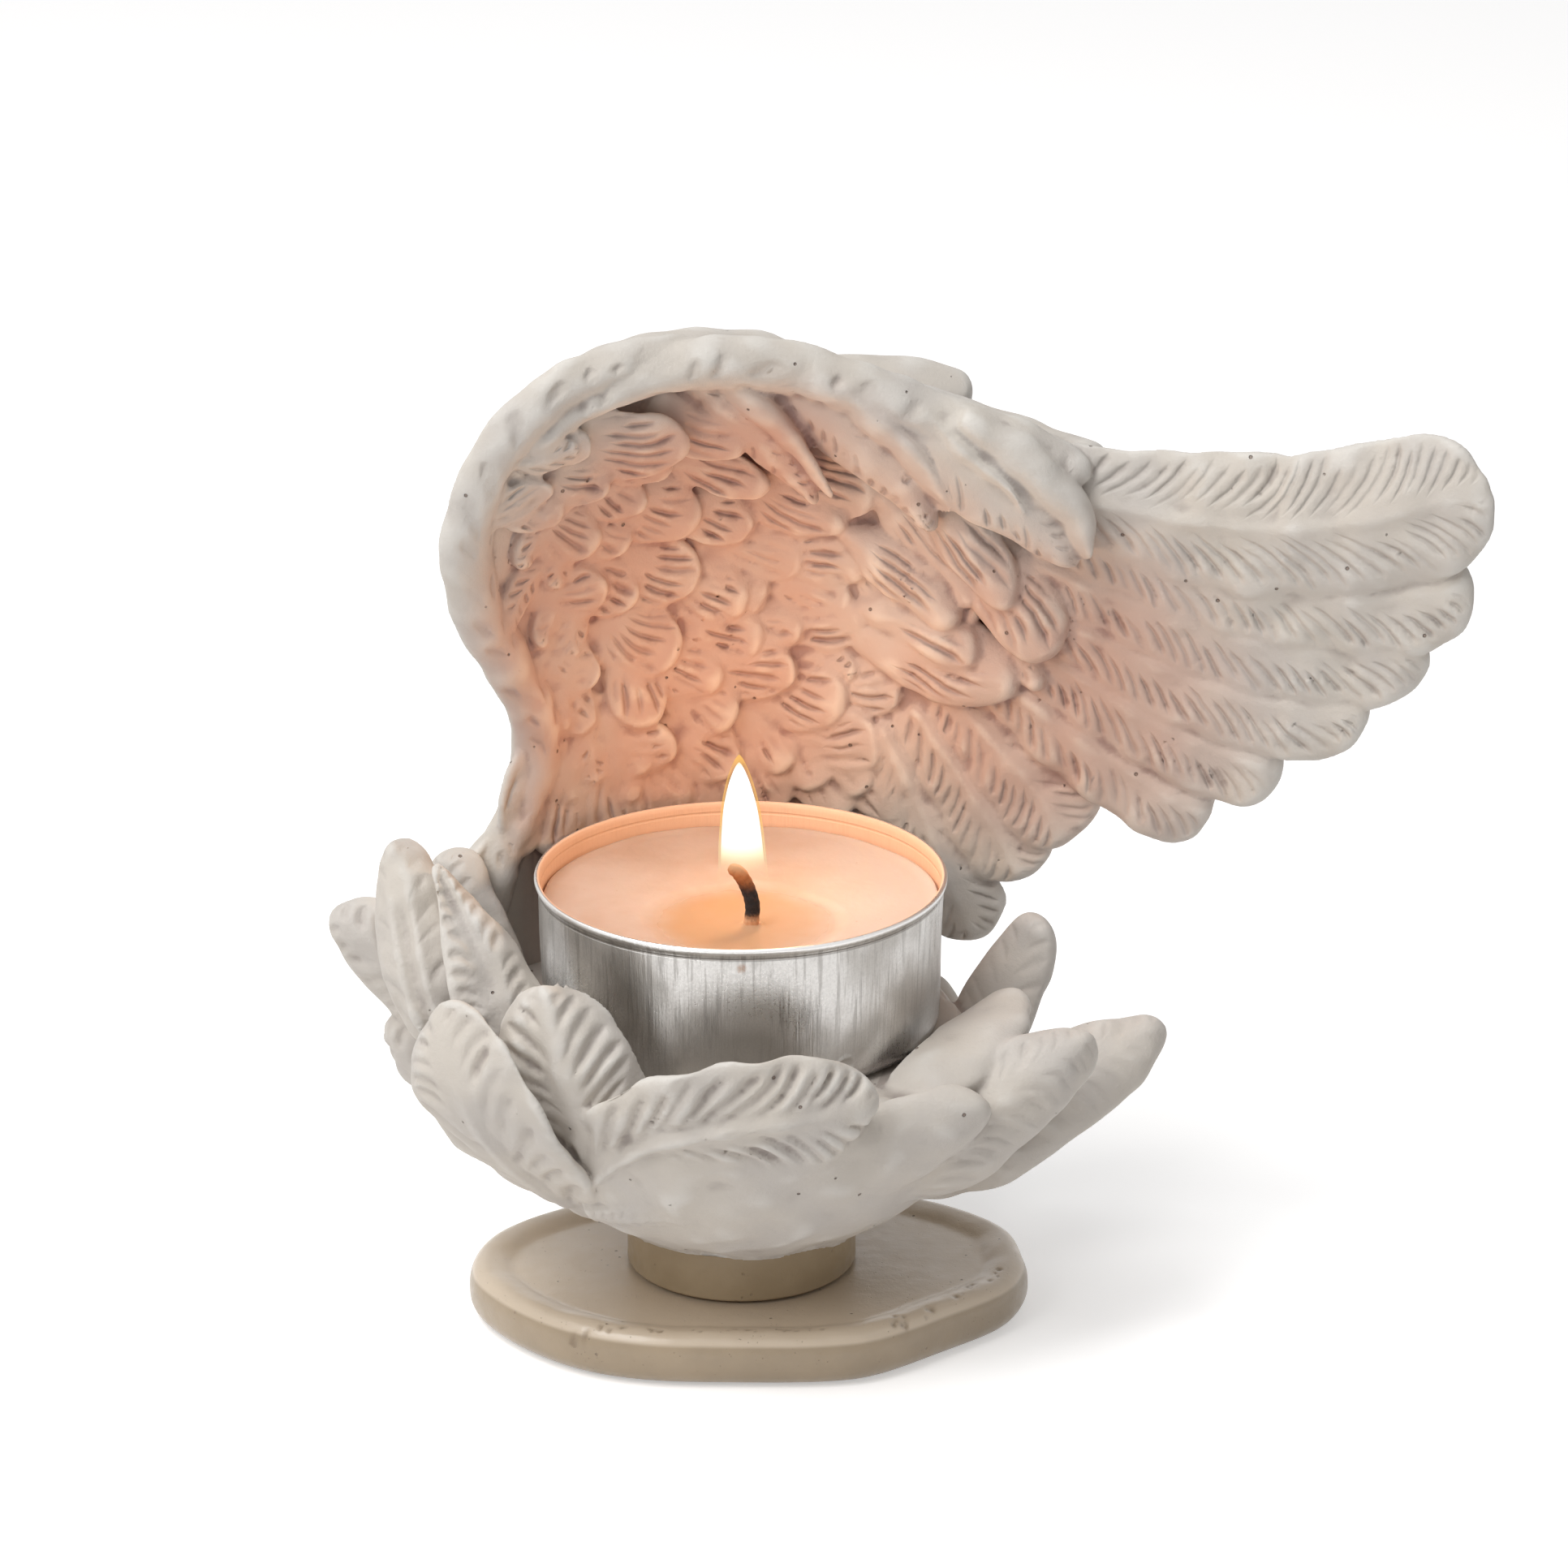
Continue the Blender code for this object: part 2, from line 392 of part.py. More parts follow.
# Bowl feathers: points (x, y, z), width, thickness, face, and how the tip and cross-section go
PETALS = [
    # The folded leaf at the front left, its two halves
    ([(-15.0, -12.0, 15.6), (-21.2, -17.8, 23.6), (-24.8, -19.2, 30.6), (-26.8, -16.0, 36.8)], 17.0, 1.8,
     [(-0.5, -0.8, -0.35), (-0.55, -0.8, -0.1), (-0.45, -0.85, 0.15)],
     dict(tipAt=0.5, curl=(-2.0, 1.2), dome=0.5, depth=0.35)),
    ([(-9.0, -14.0, 16.0), (-13.4, -20.0, 24.6), (-15.8, -21.4, 32.0), (-17.6, -20.0, 40.0)], 13.4, 1.8,
     [(-0.2, -0.9, -0.4), (-0.12, -0.97, -0.05), (0.0, -0.95, 0.15)],
     dict(root=0.45, tipAt=0.6, curl=(-2.6, -2.2), valley=(-0.3, 1.0), dome=0.7, depth=0.5)),
    # The broad front feather, which sinks into the bowl below
    ([(-14.0, -17.4, 20.2), (-8.4, -23.4, 26.6), (-1.4, -25.7, 29.0), (5.8, -25.4, 29.8), (12.2, -23.2, 30.4)],
     13.0, 1.8, [(-0.3, -0.85, -0.4), (0, -0.97, -0.2), (0.15, -0.97, 0.1)],
     dict(tipAt=0.7, curl=(0.2, -2.0), dome=0.4, depth=0.55, wave=0.3)),
    # The smooth lobe, the two arms and the finger at the right
    ([(3, -14.4, 14.2), (10.5, -19.4, 21.6), (16.4, -19.6, 25.6), (22.6, -17.6, 27.4)], 10.0, 2.4,
     [(0.3, -0.85, -0.4), (0.3, -0.9, 0.25)], dict(tipAt=0.5, curl=(0.0, -2.0), dome=0.6)),
    ([(9, -12, 13.6), (18.2, -15.2, 22.0), (25.8, -13.6, 28.2), (32.4, -10.6, 31.0)], 9.6, 2.6,
     [(0.4, -0.7, -0.5), (0.2, -0.75, 0.5), (0.1, -0.7, 0.7)],
     dict(tipAt=0.5, curl=(-0.4, -1.6), dome=0.6, depth=0.18)),
    ([(9, -6, 12.4), (20, -6.6, 18.6), (30, -4.4, 24.2), (39.4, -0.4, 28.0)], 10.4, 2.8,
     [(0.3, -0.6, -0.6), (-0.1, -0.75, 0.55), (-0.1, -0.7, 0.7)],
     dict(tipAt=0.5, cup=-0.8, dome=0.5, depth=0.2)),
    ([(17.5, 3, 19), (23, 6, 25), (26.6, 9, 30.6), (28.4, 10.6, 35.0)], 7.8, 3.0,
     [(-0.4, -0.85, 0.2), (-0.5, -0.8, 0.1)], dict(tipAt=0.5, cup=0.5, dome=0.3, depth=0.2)),
    ([(11, -17.5, 24.6), (17.5, -14.0, 28.6), (22.6, -8.0, 30.6), (25.2, -0.5, 30.8)], 8.0, 2.4,
     [(-0.1, -0.6, 0.75), (-0.35, -0.3, 0.85)], dict(tipAt=0.5, cup=0.2, dome=0.3)),
    # The tall leaf at the left with its fold, and the broad pointed face beside it
    ([(-24, -8.6, 26), (-28.2, -8.4, 34.0), (-30.0, -5.4, 40.6), (-31.6, -1.6, 47.2)], 8.6, 2.6,
     [(-0.4, -0.9, 0), (-0.15, -0.95, 0.2)], dict(tipAt=0.5, curl=(-1.0, -1.0), dome=0.9)),
    ([(-18.0, -14.0, 25.5), (-21.0, -13.2, 33.4), (-24.0, -9.8, 40.0), (-27.6, -5.6, 46.0)], 11.0, 1.8,
     [(0.25, -0.95, 0.1), (0.3, -0.93, 0.15)],
     dict(root=0.75, tipAt=0.2, point=0.6, curl=(0.8, -1.6), valley=(-0.1, 0.7), dome=0.6, depth=0.3)),
    ([(-18, -3, 20), (-25, -3.0, 27.6), (-31, 0.0, 33.6), (-38.0, 2.8, 38.6)], 11.5, 2.2,
     [(-0.6, -0.7, -0.2), (-0.3, -0.95, 0.1)], dict(tipAt=0.45, cup=-1.1, dome=0.5, depth=0.4)),
    ([(-14, -2, 13), (-23.4, -1.6, 18.4), (-29.0, 0.2, 23.2), (-32.6, 2, 28.2)], 9.0, 2.6,
     [(-0.6, -0.7, -0.4), (-0.75, -0.65, -0.1)], dict(tipAt=0.5, cup=-0.8, dome=0.5, depth=0.3)),
    ([(-20, 6, 24), (-24.6, 6.4, 32), (-26.6, 7.4, 38), (-26.6, 8.4, 42.5)], 9.0, 3.6,
     [(-0.6, -0.8, 0), (-0.5, -0.85, 0)], dict(tipAt=0.5, cup=-0.4, dome=0.5, depth=0.3)),
    # Low quills carved into the bowl
    ([(3.4, -19.4, 17.6), (9.6, -20.6, 21.4), (15.4, -19.4, 23.2), (21.2, -16.4, 24.4)], 4.2, 1.6,
     [(0.3, -0.85, -0.4), (0.3, -0.9, -0.2)], dict(tipAt=0.6, dome=0.2, depth=0.4, pitch=1.1)),
    ([(-14.0, -16.6, 16.6), (-9.0, -19.4, 17.6), (-3.6, -20.8, 17.8)], 3.4, 1.4,
     [(-0.3, -0.8, -0.6), (-0.1, -0.8, -0.6)], dict(tipAt=0.6, dome=0.1, depth=0.4, pitch=1.0)),
]


def bowlFeathers():
    for i, (spine, width, thick, face, shape) in enumerate(PETALS):
        blade(spine, width, thick, face, **{"root": 0.6, "pitch": 2.3, "seed": 120 + i, **shape})
    # Feathers round the back of the bowl, which the wing hides from the front
    for i in range(6):
        turn = math.radians(48 + 24 * i)
        way = np.array([math.cos(turn), math.sin(turn), 0.0])
        spine = [way * 13 + (0, 0, 12.6), way * 22 + (0, 0, 17.0), way * 27.4 + (0, 0, 23.0)]
        spine.append(way * 28.6 + (0, 0, 24.0 if i < 2 else 30.0))
        blade(spine, 13.0, 2.8, [way + (0, 0, -0.7), way], root=0.6, tipAt=0.6, cup=-0.8, dome=0.6,
              ridge=0.3, style="barbs", depth=0.4, pitch=2.2, seed=140 + i)


# Making objects
def material(name, colour, roughness, metallic=0.0):
    made = bpy.data.materials.new(name)
    made.use_nodes = True
    shader = made.node_tree.nodes["Principled BSDF"]
    shader.inputs["Base Color"].default_value = (*colour, 1.0)
    shader.inputs["Roughness"].default_value = roughness
    shader.inputs["Metallic"].default_value = metallic
    return made


def meshOf(name, points, faces):
    mesh = bpy.data.meshes.new(name)
    mesh.from_pydata((np.asarray(points) * 0.001).tolist(), [], np.asarray(faces).tolist())
    mesh.update()
    mesh.shade_smooth()
    return mesh


def addObject(name, points, faces, place, look, parent=None):
    made = bpy.data.objects.new(name, meshOf(name, points, faces))
    bpy.context.scene.collection.objects.link(made)
    made.location = [value * 0.001 for value in place]
    made.data.materials.append(look)
    if parent:
        made.parent = parent
    return made


def evaluated(made):
    """The mesh that an object's modifiers make, as arrays in millimetres, in triangles."""
    graph = bpy.context.evaluated_depsgraph_get()
    graph.update()
    mesh = made.evaluated_get(graph).to_mesh()
    mesh.calc_loop_triangles()
    points = np.empty(len(mesh.vertices) * 3, np.float32)
    mesh.vertices.foreach_get("co", points)
    faces = np.empty(len(mesh.loop_triangles) * 3, np.int32)
    mesh.loop_triangles.foreach_get("vertices", faces)
    made.evaluated_get(graph).to_mesh_clear()
    return points.reshape(-1, 3).astype(float) * 1000, faces.reshape(-1, 3)


def largestBody(points, faces):
    """Keeps the body with the most faces: what is left out is inside it."""
    label = np.arange(len(points))
    while True:
        low = label[faces].min(axis=1)
        fresh = label.copy()
        for k in range(3):
            np.minimum.at(fresh, faces[:, k], low)
        fresh = fresh[fresh]
        if (fresh == label).all():
            break
        label = fresh
    names, count = np.unique(label[faces[:, 0]], return_counts=True)
    kept = faces[label[faces[:, 0]] == names[count.argmax()]]
    used = np.unique(kept)
    place = np.zeros(len(points), int)
    place[used] = np.arange(len(used))
    return points[used], place[kept]


def seat(points):
    """Clears the tealight's place and makes the floor and the foot flat."""
    radius = np.hypot(points[:, 0], points[:, 1])
    wanted = DRAWN_RADIUS + SEAT_MARGIN / WIDE
    ceiling = CAST_FLOOR + (TEALIGHT_HEIGHT + 2.5) / TALL
    inside = (points[:, 2] > CAST_FLOOR - 0.5) & (points[:, 2] < ceiling) & (radius < wanted)
    onFloor = inside & (points[:, 2] < CAST_FLOOR + 0.6)
    points[onFloor, 2] = CAST_FLOOR
    push = inside & ~onFloor
    factor = wanted / np.maximum(radius[push], 0.01)
    points[push, 0] *= factor
    points[push, 1] *= factor
    foot = points[:, 2] < CAST_FOOT + 0.35
    points[foot, 2] = CAST_FOOT
    return points


def castingMesh():
    wingShell()
    bowlBody()
    wingEdges()
    wingFeathers()
    bowlFeathers()
    offsets = np.cumsum([0] + [len(points) for points, faces in solids])
    points = np.vstack([points for points, faces in solids])
    faces = np.vstack([faces + offset for (p, faces), offset in zip(solids, offsets)])
    rough = bpy.data.objects.new("rough", meshOf("rough", points, faces))
    bpy.context.scene.collection.objects.link(rough)
    remesh = rough.modifiers.new("Remesh", "REMESH")
    remesh.mode = "VOXEL"
    remesh.voxel_size = VOXEL * 0.001
    points, faces = largestBody(*evaluated(rough))
    bpy.data.objects.remove(rough, do_unlink=True)
    points = seat(points)
    fine = bpy.data.objects.new("fine", meshOf("fine", points, faces))
    bpy.context.scene.collection.objects.link(fine)
    even = fine.modifiers.new("Smooth", "SMOOTH")
    even.factor = 0.5
    even.iterations = 1
    fewer = fine.modifiers.new("Decimate", "DECIMATE")
    fewer.ratio = CASTING_TRIANGLES / len(faces)
    points, faces = largestBody(*evaluated(fine))
    bpy.data.objects.remove(fine, do_unlink=True)
    points = seat(points)
    points[:, 2] -= CAST_FOOT
    return points * (WIDE, WIDE, TALL), faces


# Base plate: a pebble shape with a straight front, a flattened right front and a rounded edge
PEBBLE = [(26.8, 0.5), (25.6, 5.5), (21.5, 10.0), (15.5, 13.4), (7.0, 15.4), (-2.0, 15.6), (-11.0, 13.6),
          (-18.5, 9.8), (-23.8, 4.6), (-25.6, -1.2), (-24.6, -6.6), (-20.5, -12.4), (-15.0, -16.8),
          (-8.5, -19.0), (0.0, -19.5), (8.0, -19.3), (13.0, -17.8), (19.0, -13.2), (24.6, -8.2), (26.8, -3.4)]


def plateMesh():
    loop = PEBBLE[-3:] + PEBBLE + PEBBLE[:3]
    places = np.linspace(0, 1, 900)
    line = curveThrough(loop, places)[0]
    start = np.argmin(np.linalg.norm(line - PEBBLE[0], axis=1)[:450])
    end = 450 + np.argmin(np.linalg.norm(line - PEBBLE[0], axis=1)[450:])
    outline = line[np.linspace(start, end, 72, endpoint=False).astype(int)]
    ahead = np.roll(outline, -1, axis=0) - np.roll(outline, 1, axis=0)
    inward = np.stack([-ahead[:, 1], ahead[:, 0]], axis=1)
    inward /= np.linalg.norm(inward, axis=1)[:, None]
    if ((outline + inward) ** 2).sum() > (outline ** 2).sum():
        inward = -inward
    high = PLATE_THICKNESS
    profile = [(8.0, 0.0), (1.9, 0.0), (1.0, 0.25), (0.35, 0.9), (0.05, 0.3 * high), (0.0, 0.5 * high),
               (0.15, 0.72 * high), (0.7, 0.9 * high), (1.5, high), (2.4, high - 0.05),
               (3.4, high - 0.45 * PLATE_LIP), (4.4, PLATE_FACE), (8.0, PLATE_FACE)]
    rings = []
    for inset, height in profile:
        ring = outline + inward * inset
        rings.append(np.column_stack([ring, np.full(len(ring), height)]))
    points, faces = ringsToMesh(np.array(rings))
    return points, outward(points, faces)


def collarMesh():
    edge = 0.25
    return lathe([(0, 0), (0.5 * COLLAR_RADIUS, 0), (COLLAR_RADIUS - edge, 0), (COLLAR_RADIUS, edge),
                  (COLLAR_RADIUS, 0.5 * COLLAR_HEIGHT), (COLLAR_RADIUS, COLLAR_HEIGHT - edge),
                  (COLLAR_RADIUS - edge, COLLAR_HEIGHT), (0.5 * COLLAR_RADIUS, COLLAR_HEIGHT),
                  (0, COLLAR_HEIGHT)], 60)


def cupMesh():
    """Thin cup with a rolled rim, a little narrower at the bottom."""
    low = TEALIGHT_RADIUS - TEALIGHT_TAPER
    rim = TEALIGHT_RADIUS
    wall = CUP_WALL
    high = TEALIGHT_HEIGHT
    return lathe([(0, 0), (0.6 * low, 0), (low - 0.9, 0), (low - 0.25, 0.25), (low, 0.9),
                  (rim - 0.25, high - 0.9), (rim, high - 0.55), (rim + 0.05, high - 0.25), (rim - 0.2, high),
                  (rim - wall, high), (rim - wall - 0.25, high - 0.4), (rim - wall - 0.3, high - 0.9),
                  (low - wall, 1.1), (low - wall - 0.4, wall), (0.6 * low, wall), (0, wall)], 72)


WAX_BASE = CUP_WALL + CLEARANCE
WAX_TOP = TEALIGHT_HEIGHT - WAX_BELOW_RIM


def waxMesh():
    low = TEALIGHT_RADIUS - TEALIGHT_TAPER - CUP_WALL - CLEARANCE
    high = TEALIGHT_RADIUS - CUP_WALL - CLEARANCE - 0.3
    part = WAX_TOP / TEALIGHT_HEIGHT
    top = low + (high - low) * part - 0.05
    body = [(0, 0), (0.5 * low, 0), (low - 0.5, 0), (low - 0.1, 0.4)]
    deep = WAX_TOP - WAX_BASE
    body += [(top, deep - 0.5), (top - 0.3, deep - 0.1), (top - 0.8, deep)]
    body += [(top * k, deep) for k in (0.9, 0.8, 0.7, 0.6, 0.5, 0.4, 0.3, 0.2, 0.1)]
    body += [(0, deep)]
    points, faces = lathe(body, 60)
    far = np.hypot(points[:, 0] - 0.6 * WICK_PLACE[0], points[:, 1] - 0.75 * WICK_PLACE[1])
    onTop = points[:, 2] > deep - 0.05
    points[onTop, 2] -= MELT_POOL_DEPTH * smooth((MELT_POOL_RADIUS - far[onTop]) / 2.0 + 0.5)
    return points, faces


clay = material("casting_resin", (0.76, 0.72, 0.69), 0.62)
beige = material("beige_stone", (0.66, 0.56, 0.43), 0.5)
beigeCollar = material("beige_collar", (0.64, 0.54, 0.41), 0.5)
tin = material("tealight_aluminium", (0.78, 0.77, 0.76), 0.34, 1.0)
waxLook = material("candle_wax", (0.93, 0.66, 0.52), 0.45)
clipLook = material("clip_steel", (0.6, 0.6, 0.6), 0.35, 1.0)
cotton = material("charred_cotton", (0.05, 0.03, 0.025), 0.9)

plate = addObject("base_plate", *plateMesh(), (0, 0, 0), beige)
collar = addObject("collar", *collarMesh(), (0, 0, COLLAR_BASE), beigeCollar, plate)
casting = addObject("winged_bowl", *castingMesh(), (0, 0, CASTING_BASE), clay, plate)
cup = addObject("tealight_cup", *cupMesh(), (0, 0, CUP_BASE), tin, plate)
wax = addObject("wax", *waxMesh(), (0, 0, WAX_BASE), waxLook, cup)

# The clip stands on the cup's floor, and the wax leaves room for it and for the wick
hole = WICK_RADIUS + CLEARANCE
neck = hole + CLIP_NECK_WALL
clip = addObject("wick_clip", *revolve([(hole, 0), (CLIP_RADIUS, 0), (CLIP_RADIUS, CLIP_THICKNESS),
                                        (neck + 0.3, CLIP_THICKNESS + 0.1), (neck, CLIP_THICKNESS + 0.5),
                                        (neck, CLIP_NECK_HEIGHT), (hole, CLIP_NECK_HEIGHT)], 32),
                 (*WICK_PLACE, WAX_BASE), clipLook, cup)
wide = CLIP_RADIUS + CLEARANCE
stand = WAX_TOP - WAX_BASE
above = stand + 1.0
roomLoop = [(0, -1.0), (wide, -1.0), (wide, CLIP_THICKNESS + CLEARANCE + 0.2),
            (neck + 2 * CLEARANCE, CLIP_THICKNESS + CLEARANCE + 0.5), (neck + CLEARANCE, CLIP_THICKNESS + 1.3),
            (neck + CLEARANCE, CLIP_NECK_HEIGHT + CLEARANCE), (hole, CLIP_NECK_HEIGHT + CLEARANCE + 0.3),
            (hole, 0.5 * above), (hole, above), (0, above)]
room = addObject("wick_room", *lathe(roomLoop, 32), (*WICK_PLACE, WAX_BASE), clipLook, cup)
room.hide_render = True
room.display_type = "WIRE"
carve = wax.modifiers.new("Room for the wick", "BOOLEAN")
carve.operation = "DIFFERENCE"
carve.solver = "EXACT"
carve.object = room

# The wick: straight in the wax, then bent to the left at the top
wickBase = CLEARANCE
wickTop = stand + WICK_HEIGHT
wickLine = [(0, 0, wickBase), (0, 0, 0.5 * stand), (0, 0, stand), (0.1, 0.1, stand + 0.35 * WICK_HEIGHT),
            (-0.3, 0.3, stand + 0.65 * WICK_HEIGHT), (-1.1, 0.3, stand + 0.9 * WICK_HEIGHT),
            (-2.0, 0.3, wickTop)]
line = curveThrough(wickLine, np.linspace(0, 1, 22))[0]
ahead = np.gradient(line, axis=0)
ahead /= np.linalg.norm(ahead, axis=1)[:, None]
sideways = np.cross(ahead, (0, 1, 0))
sideways /= np.linalg.norm(sideways, axis=1)[:, None]
third = np.cross(sideways, ahead)
around = np.linspace(0, 2 * np.pi, 12, endpoint=False)
girth = np.interp(np.linspace(0, 1, 22), [0, 0.02, 0.9, 1], [0.8, 1, 1, 0.8])[:, None, None] * WICK_RADIUS
rings = line[:, None] + girth * (sideways[:, None] * np.cos(around)[None, :, None]
                                 + third[:, None] * np.sin(around)[None, :, None])
wickPoints, wickFaces = ringsToMesh(rings)
wick = addObject("wick", wickPoints, outward(wickPoints, wickFaces), (*WICK_PLACE, WAX_BASE), cotton, cup)
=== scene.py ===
import math
import bpy
import numpy as np
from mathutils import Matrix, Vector
from mathutils.kdtree import KDTree


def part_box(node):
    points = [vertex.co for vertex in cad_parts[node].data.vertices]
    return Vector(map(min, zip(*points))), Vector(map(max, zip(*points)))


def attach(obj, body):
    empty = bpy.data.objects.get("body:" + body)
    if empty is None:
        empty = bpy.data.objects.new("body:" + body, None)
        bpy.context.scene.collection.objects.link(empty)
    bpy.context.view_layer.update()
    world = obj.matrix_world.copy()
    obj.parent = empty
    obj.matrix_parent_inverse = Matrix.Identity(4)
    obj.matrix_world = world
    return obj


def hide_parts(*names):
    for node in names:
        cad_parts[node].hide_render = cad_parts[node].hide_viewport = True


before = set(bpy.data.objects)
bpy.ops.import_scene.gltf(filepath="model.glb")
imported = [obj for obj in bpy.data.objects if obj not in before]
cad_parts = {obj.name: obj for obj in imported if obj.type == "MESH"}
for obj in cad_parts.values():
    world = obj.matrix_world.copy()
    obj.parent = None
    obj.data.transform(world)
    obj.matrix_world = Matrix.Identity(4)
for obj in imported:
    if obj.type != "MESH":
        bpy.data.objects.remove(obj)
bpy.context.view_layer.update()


clearance = 0.3      # gap between pieces that touch
rimRoll = 0.05       # how far the cup's rolled rim stands out past its wall
black = (0.0, 0.0, 0.0)
white = (1.0, 1.0, 1.0)


# Places taken from the CAD nodes
def boxOf(node):
    low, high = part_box(node)
    return np.array(low) * 1000, np.array(high) * 1000


plateHigh = boxOf("base_plate")[1]
collarLow, collarHigh = boxOf("collar")
cupLow, cupHigh = boxOf("tealight_cup")
waxLow, waxHigh = boxOf("wax")
wickLow, wickHigh = boxOf("wick")
castingLow, castingHigh = boxOf("winged_bowl")
cupRadius = cupHigh[0] - rimRoll
castFoot = castingLow[2]
castFloor = cupLow[2] - clearance


# Shape helpers
def smooth(value):
    value = np.clip(value, 0.0, 1.0)
    return value * value * (3.0 - 2.0 * value)


def unit(rows):
    return rows / np.linalg.norm(rows, axis=1)[:, None]


def polar(points):
    return np.hypot(points[:, 0], points[:, 1]), np.arctan2(points[:, 1], points[:, 0])


def curveThrough(points, places, stepsEach=24):
    # Places from 0 to 1 along a smooth curve through the points, and the curve's length
    points = np.asarray(points, float)
    ends = np.vstack([2 * points[0] - points[1], points, 2 * points[-1] - points[-2]])
    pieces = []
    t = np.linspace(0, 1, stepsEach, endpoint=False)[:, None]
    for i in range(len(points) - 1):
        a, b, c, d = ends[i:i + 4]
        bend = (2 * a - 5 * b + 4 * c - d) * t ** 2 + (3 * b - a - 3 * c + d) * t ** 3
        pieces.append(0.5 * (2 * b + (c - a) * t + bend))
    dense = np.vstack(pieces + [points[-1:]])
    run = np.concatenate([[0], np.cumsum(np.linalg.norm(np.diff(dense, axis=0), axis=1))])
    at = np.asarray(places) * run[-1]
    curve = np.stack([np.interp(at, run, dense[:, k]) for k in range(dense.shape[1])], axis=1)
    return curve, run[-1]


def ringsToMesh(rings):
    # A closed skin over rings of points, with a fan at each end
    count, around = rings.shape[:2]
    points = rings.reshape(-1, 3)
    index = np.arange(count * around).reshape(count, around)
    nextOne = np.roll(index, -1, axis=1)
    quads = np.stack([index[:-1], nextOne[:-1], nextOne[1:], index[1:]], axis=-1).reshape(-1, 4)
    faces = np.concatenate([quads[:, [0, 1, 2]], quads[:, [0, 2, 3]]])
    first = len(points)
    points = np.vstack([points, rings[0].mean(axis=0), rings[-1].mean(axis=0)])
    start = np.stack([nextOne[0], index[0], np.full(around, first)], axis=1)
    end = np.stack([index[-1], nextOne[-1], np.full(around, first + 1)], axis=1)
    return points, np.concatenate([faces, start, end])


def outward(points, faces):
    corners = points[faces]
    volume = np.einsum("ij,ij->i", corners[:, 0], np.cross(corners[:, 1], corners[:, 2])).sum()
    return faces if volume > 0 else faces[:, ::-1]


def lathe(profile, segments):
    # Turns a profile of (radius, height) pairs round the axis
    profile = np.asarray(profile, float)
    turn = np.linspace(0, 2 * np.pi, segments, endpoint=False)
    inner = profile[1:-1]
    rings = np.stack([inner[:, 0:1] * np.cos(turn), inner[:, 0:1] * np.sin(turn),
                      np.repeat(inner[:, 1:2], segments, axis=1)], axis=-1)
    points, faces = ringsToMesh(rings)
    points[-2] = (0, 0, profile[0, 1])
    points[-1] = (0, 0, profile[-1, 1])
    return points, outward(points, faces)


def largestBody(points, faces):
    # Keeps the one body that has the most faces
    label = np.arange(len(points))
    while True:
        low = label[faces].min(axis=1)
        fresh = label.copy()
        for k in range(3):
            np.minimum.at(fresh, faces[:, k], low)
        fresh = fresh[fresh]
        if (fresh == label).all():
            break
        label = fresh
    names, count = np.unique(label[faces[:, 0]], return_counts=True)
    kept = faces[label[faces[:, 0]] == names[count.argmax()]]
    used = np.unique(kept)
    place = np.zeros(len(points), int)
    place[used] = np.arange(len(used))
    return points[used], place[kept]


def metreMesh(name, points, faces):
    mesh = bpy.data.meshes.new(name)
    mesh.from_pydata((np.asarray(points) * 0.001).tolist(), [], np.asarray(faces).tolist())
    mesh.update()
    mesh.shade_smooth()
    return mesh


def addPiece(name, points, faces, look, slotName, *nodes):
    made = bpy.data.objects.new(name, metreMesh(name, points, faces))
    bpy.context.scene.collection.objects.link(made)
    made.data.materials.append(look)
    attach(made, "root")
    if nodes:
        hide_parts(*nodes)
    print("piece", name, len(faces), "faces")
    return made


def modified(points, faces, *settings):
    # The mesh that some modifiers make from points and faces, as arrays of triangles
    rough = bpy.data.objects.new("rough", metreMesh("rough", points, faces))
    bpy.context.scene.collection.objects.link(rough)
    for kind, values in settings:
        modifier = rough.modifiers.new(kind, kind)
        for key, value in values.items():
            setattr(modifier, key, value)
    graph = bpy.context.evaluated_depsgraph_get()
    graph.update()
    mesh = rough.evaluated_get(graph).to_mesh()
    mesh.calc_loop_triangles()
    points = np.empty(len(mesh.vertices) * 3, np.float32)
    mesh.vertices.foreach_get("co", points)
    faces = np.empty(len(mesh.loop_triangles) * 3, np.int32)
    mesh.loop_triangles.foreach_get("vertices", faces)
    rough.evaluated_get(graph).to_mesh_clear()
    bpy.data.objects.remove(rough, do_unlink=True)
    return points.reshape(-1, 3).astype(float) * 1000, faces.reshape(-1, 3)


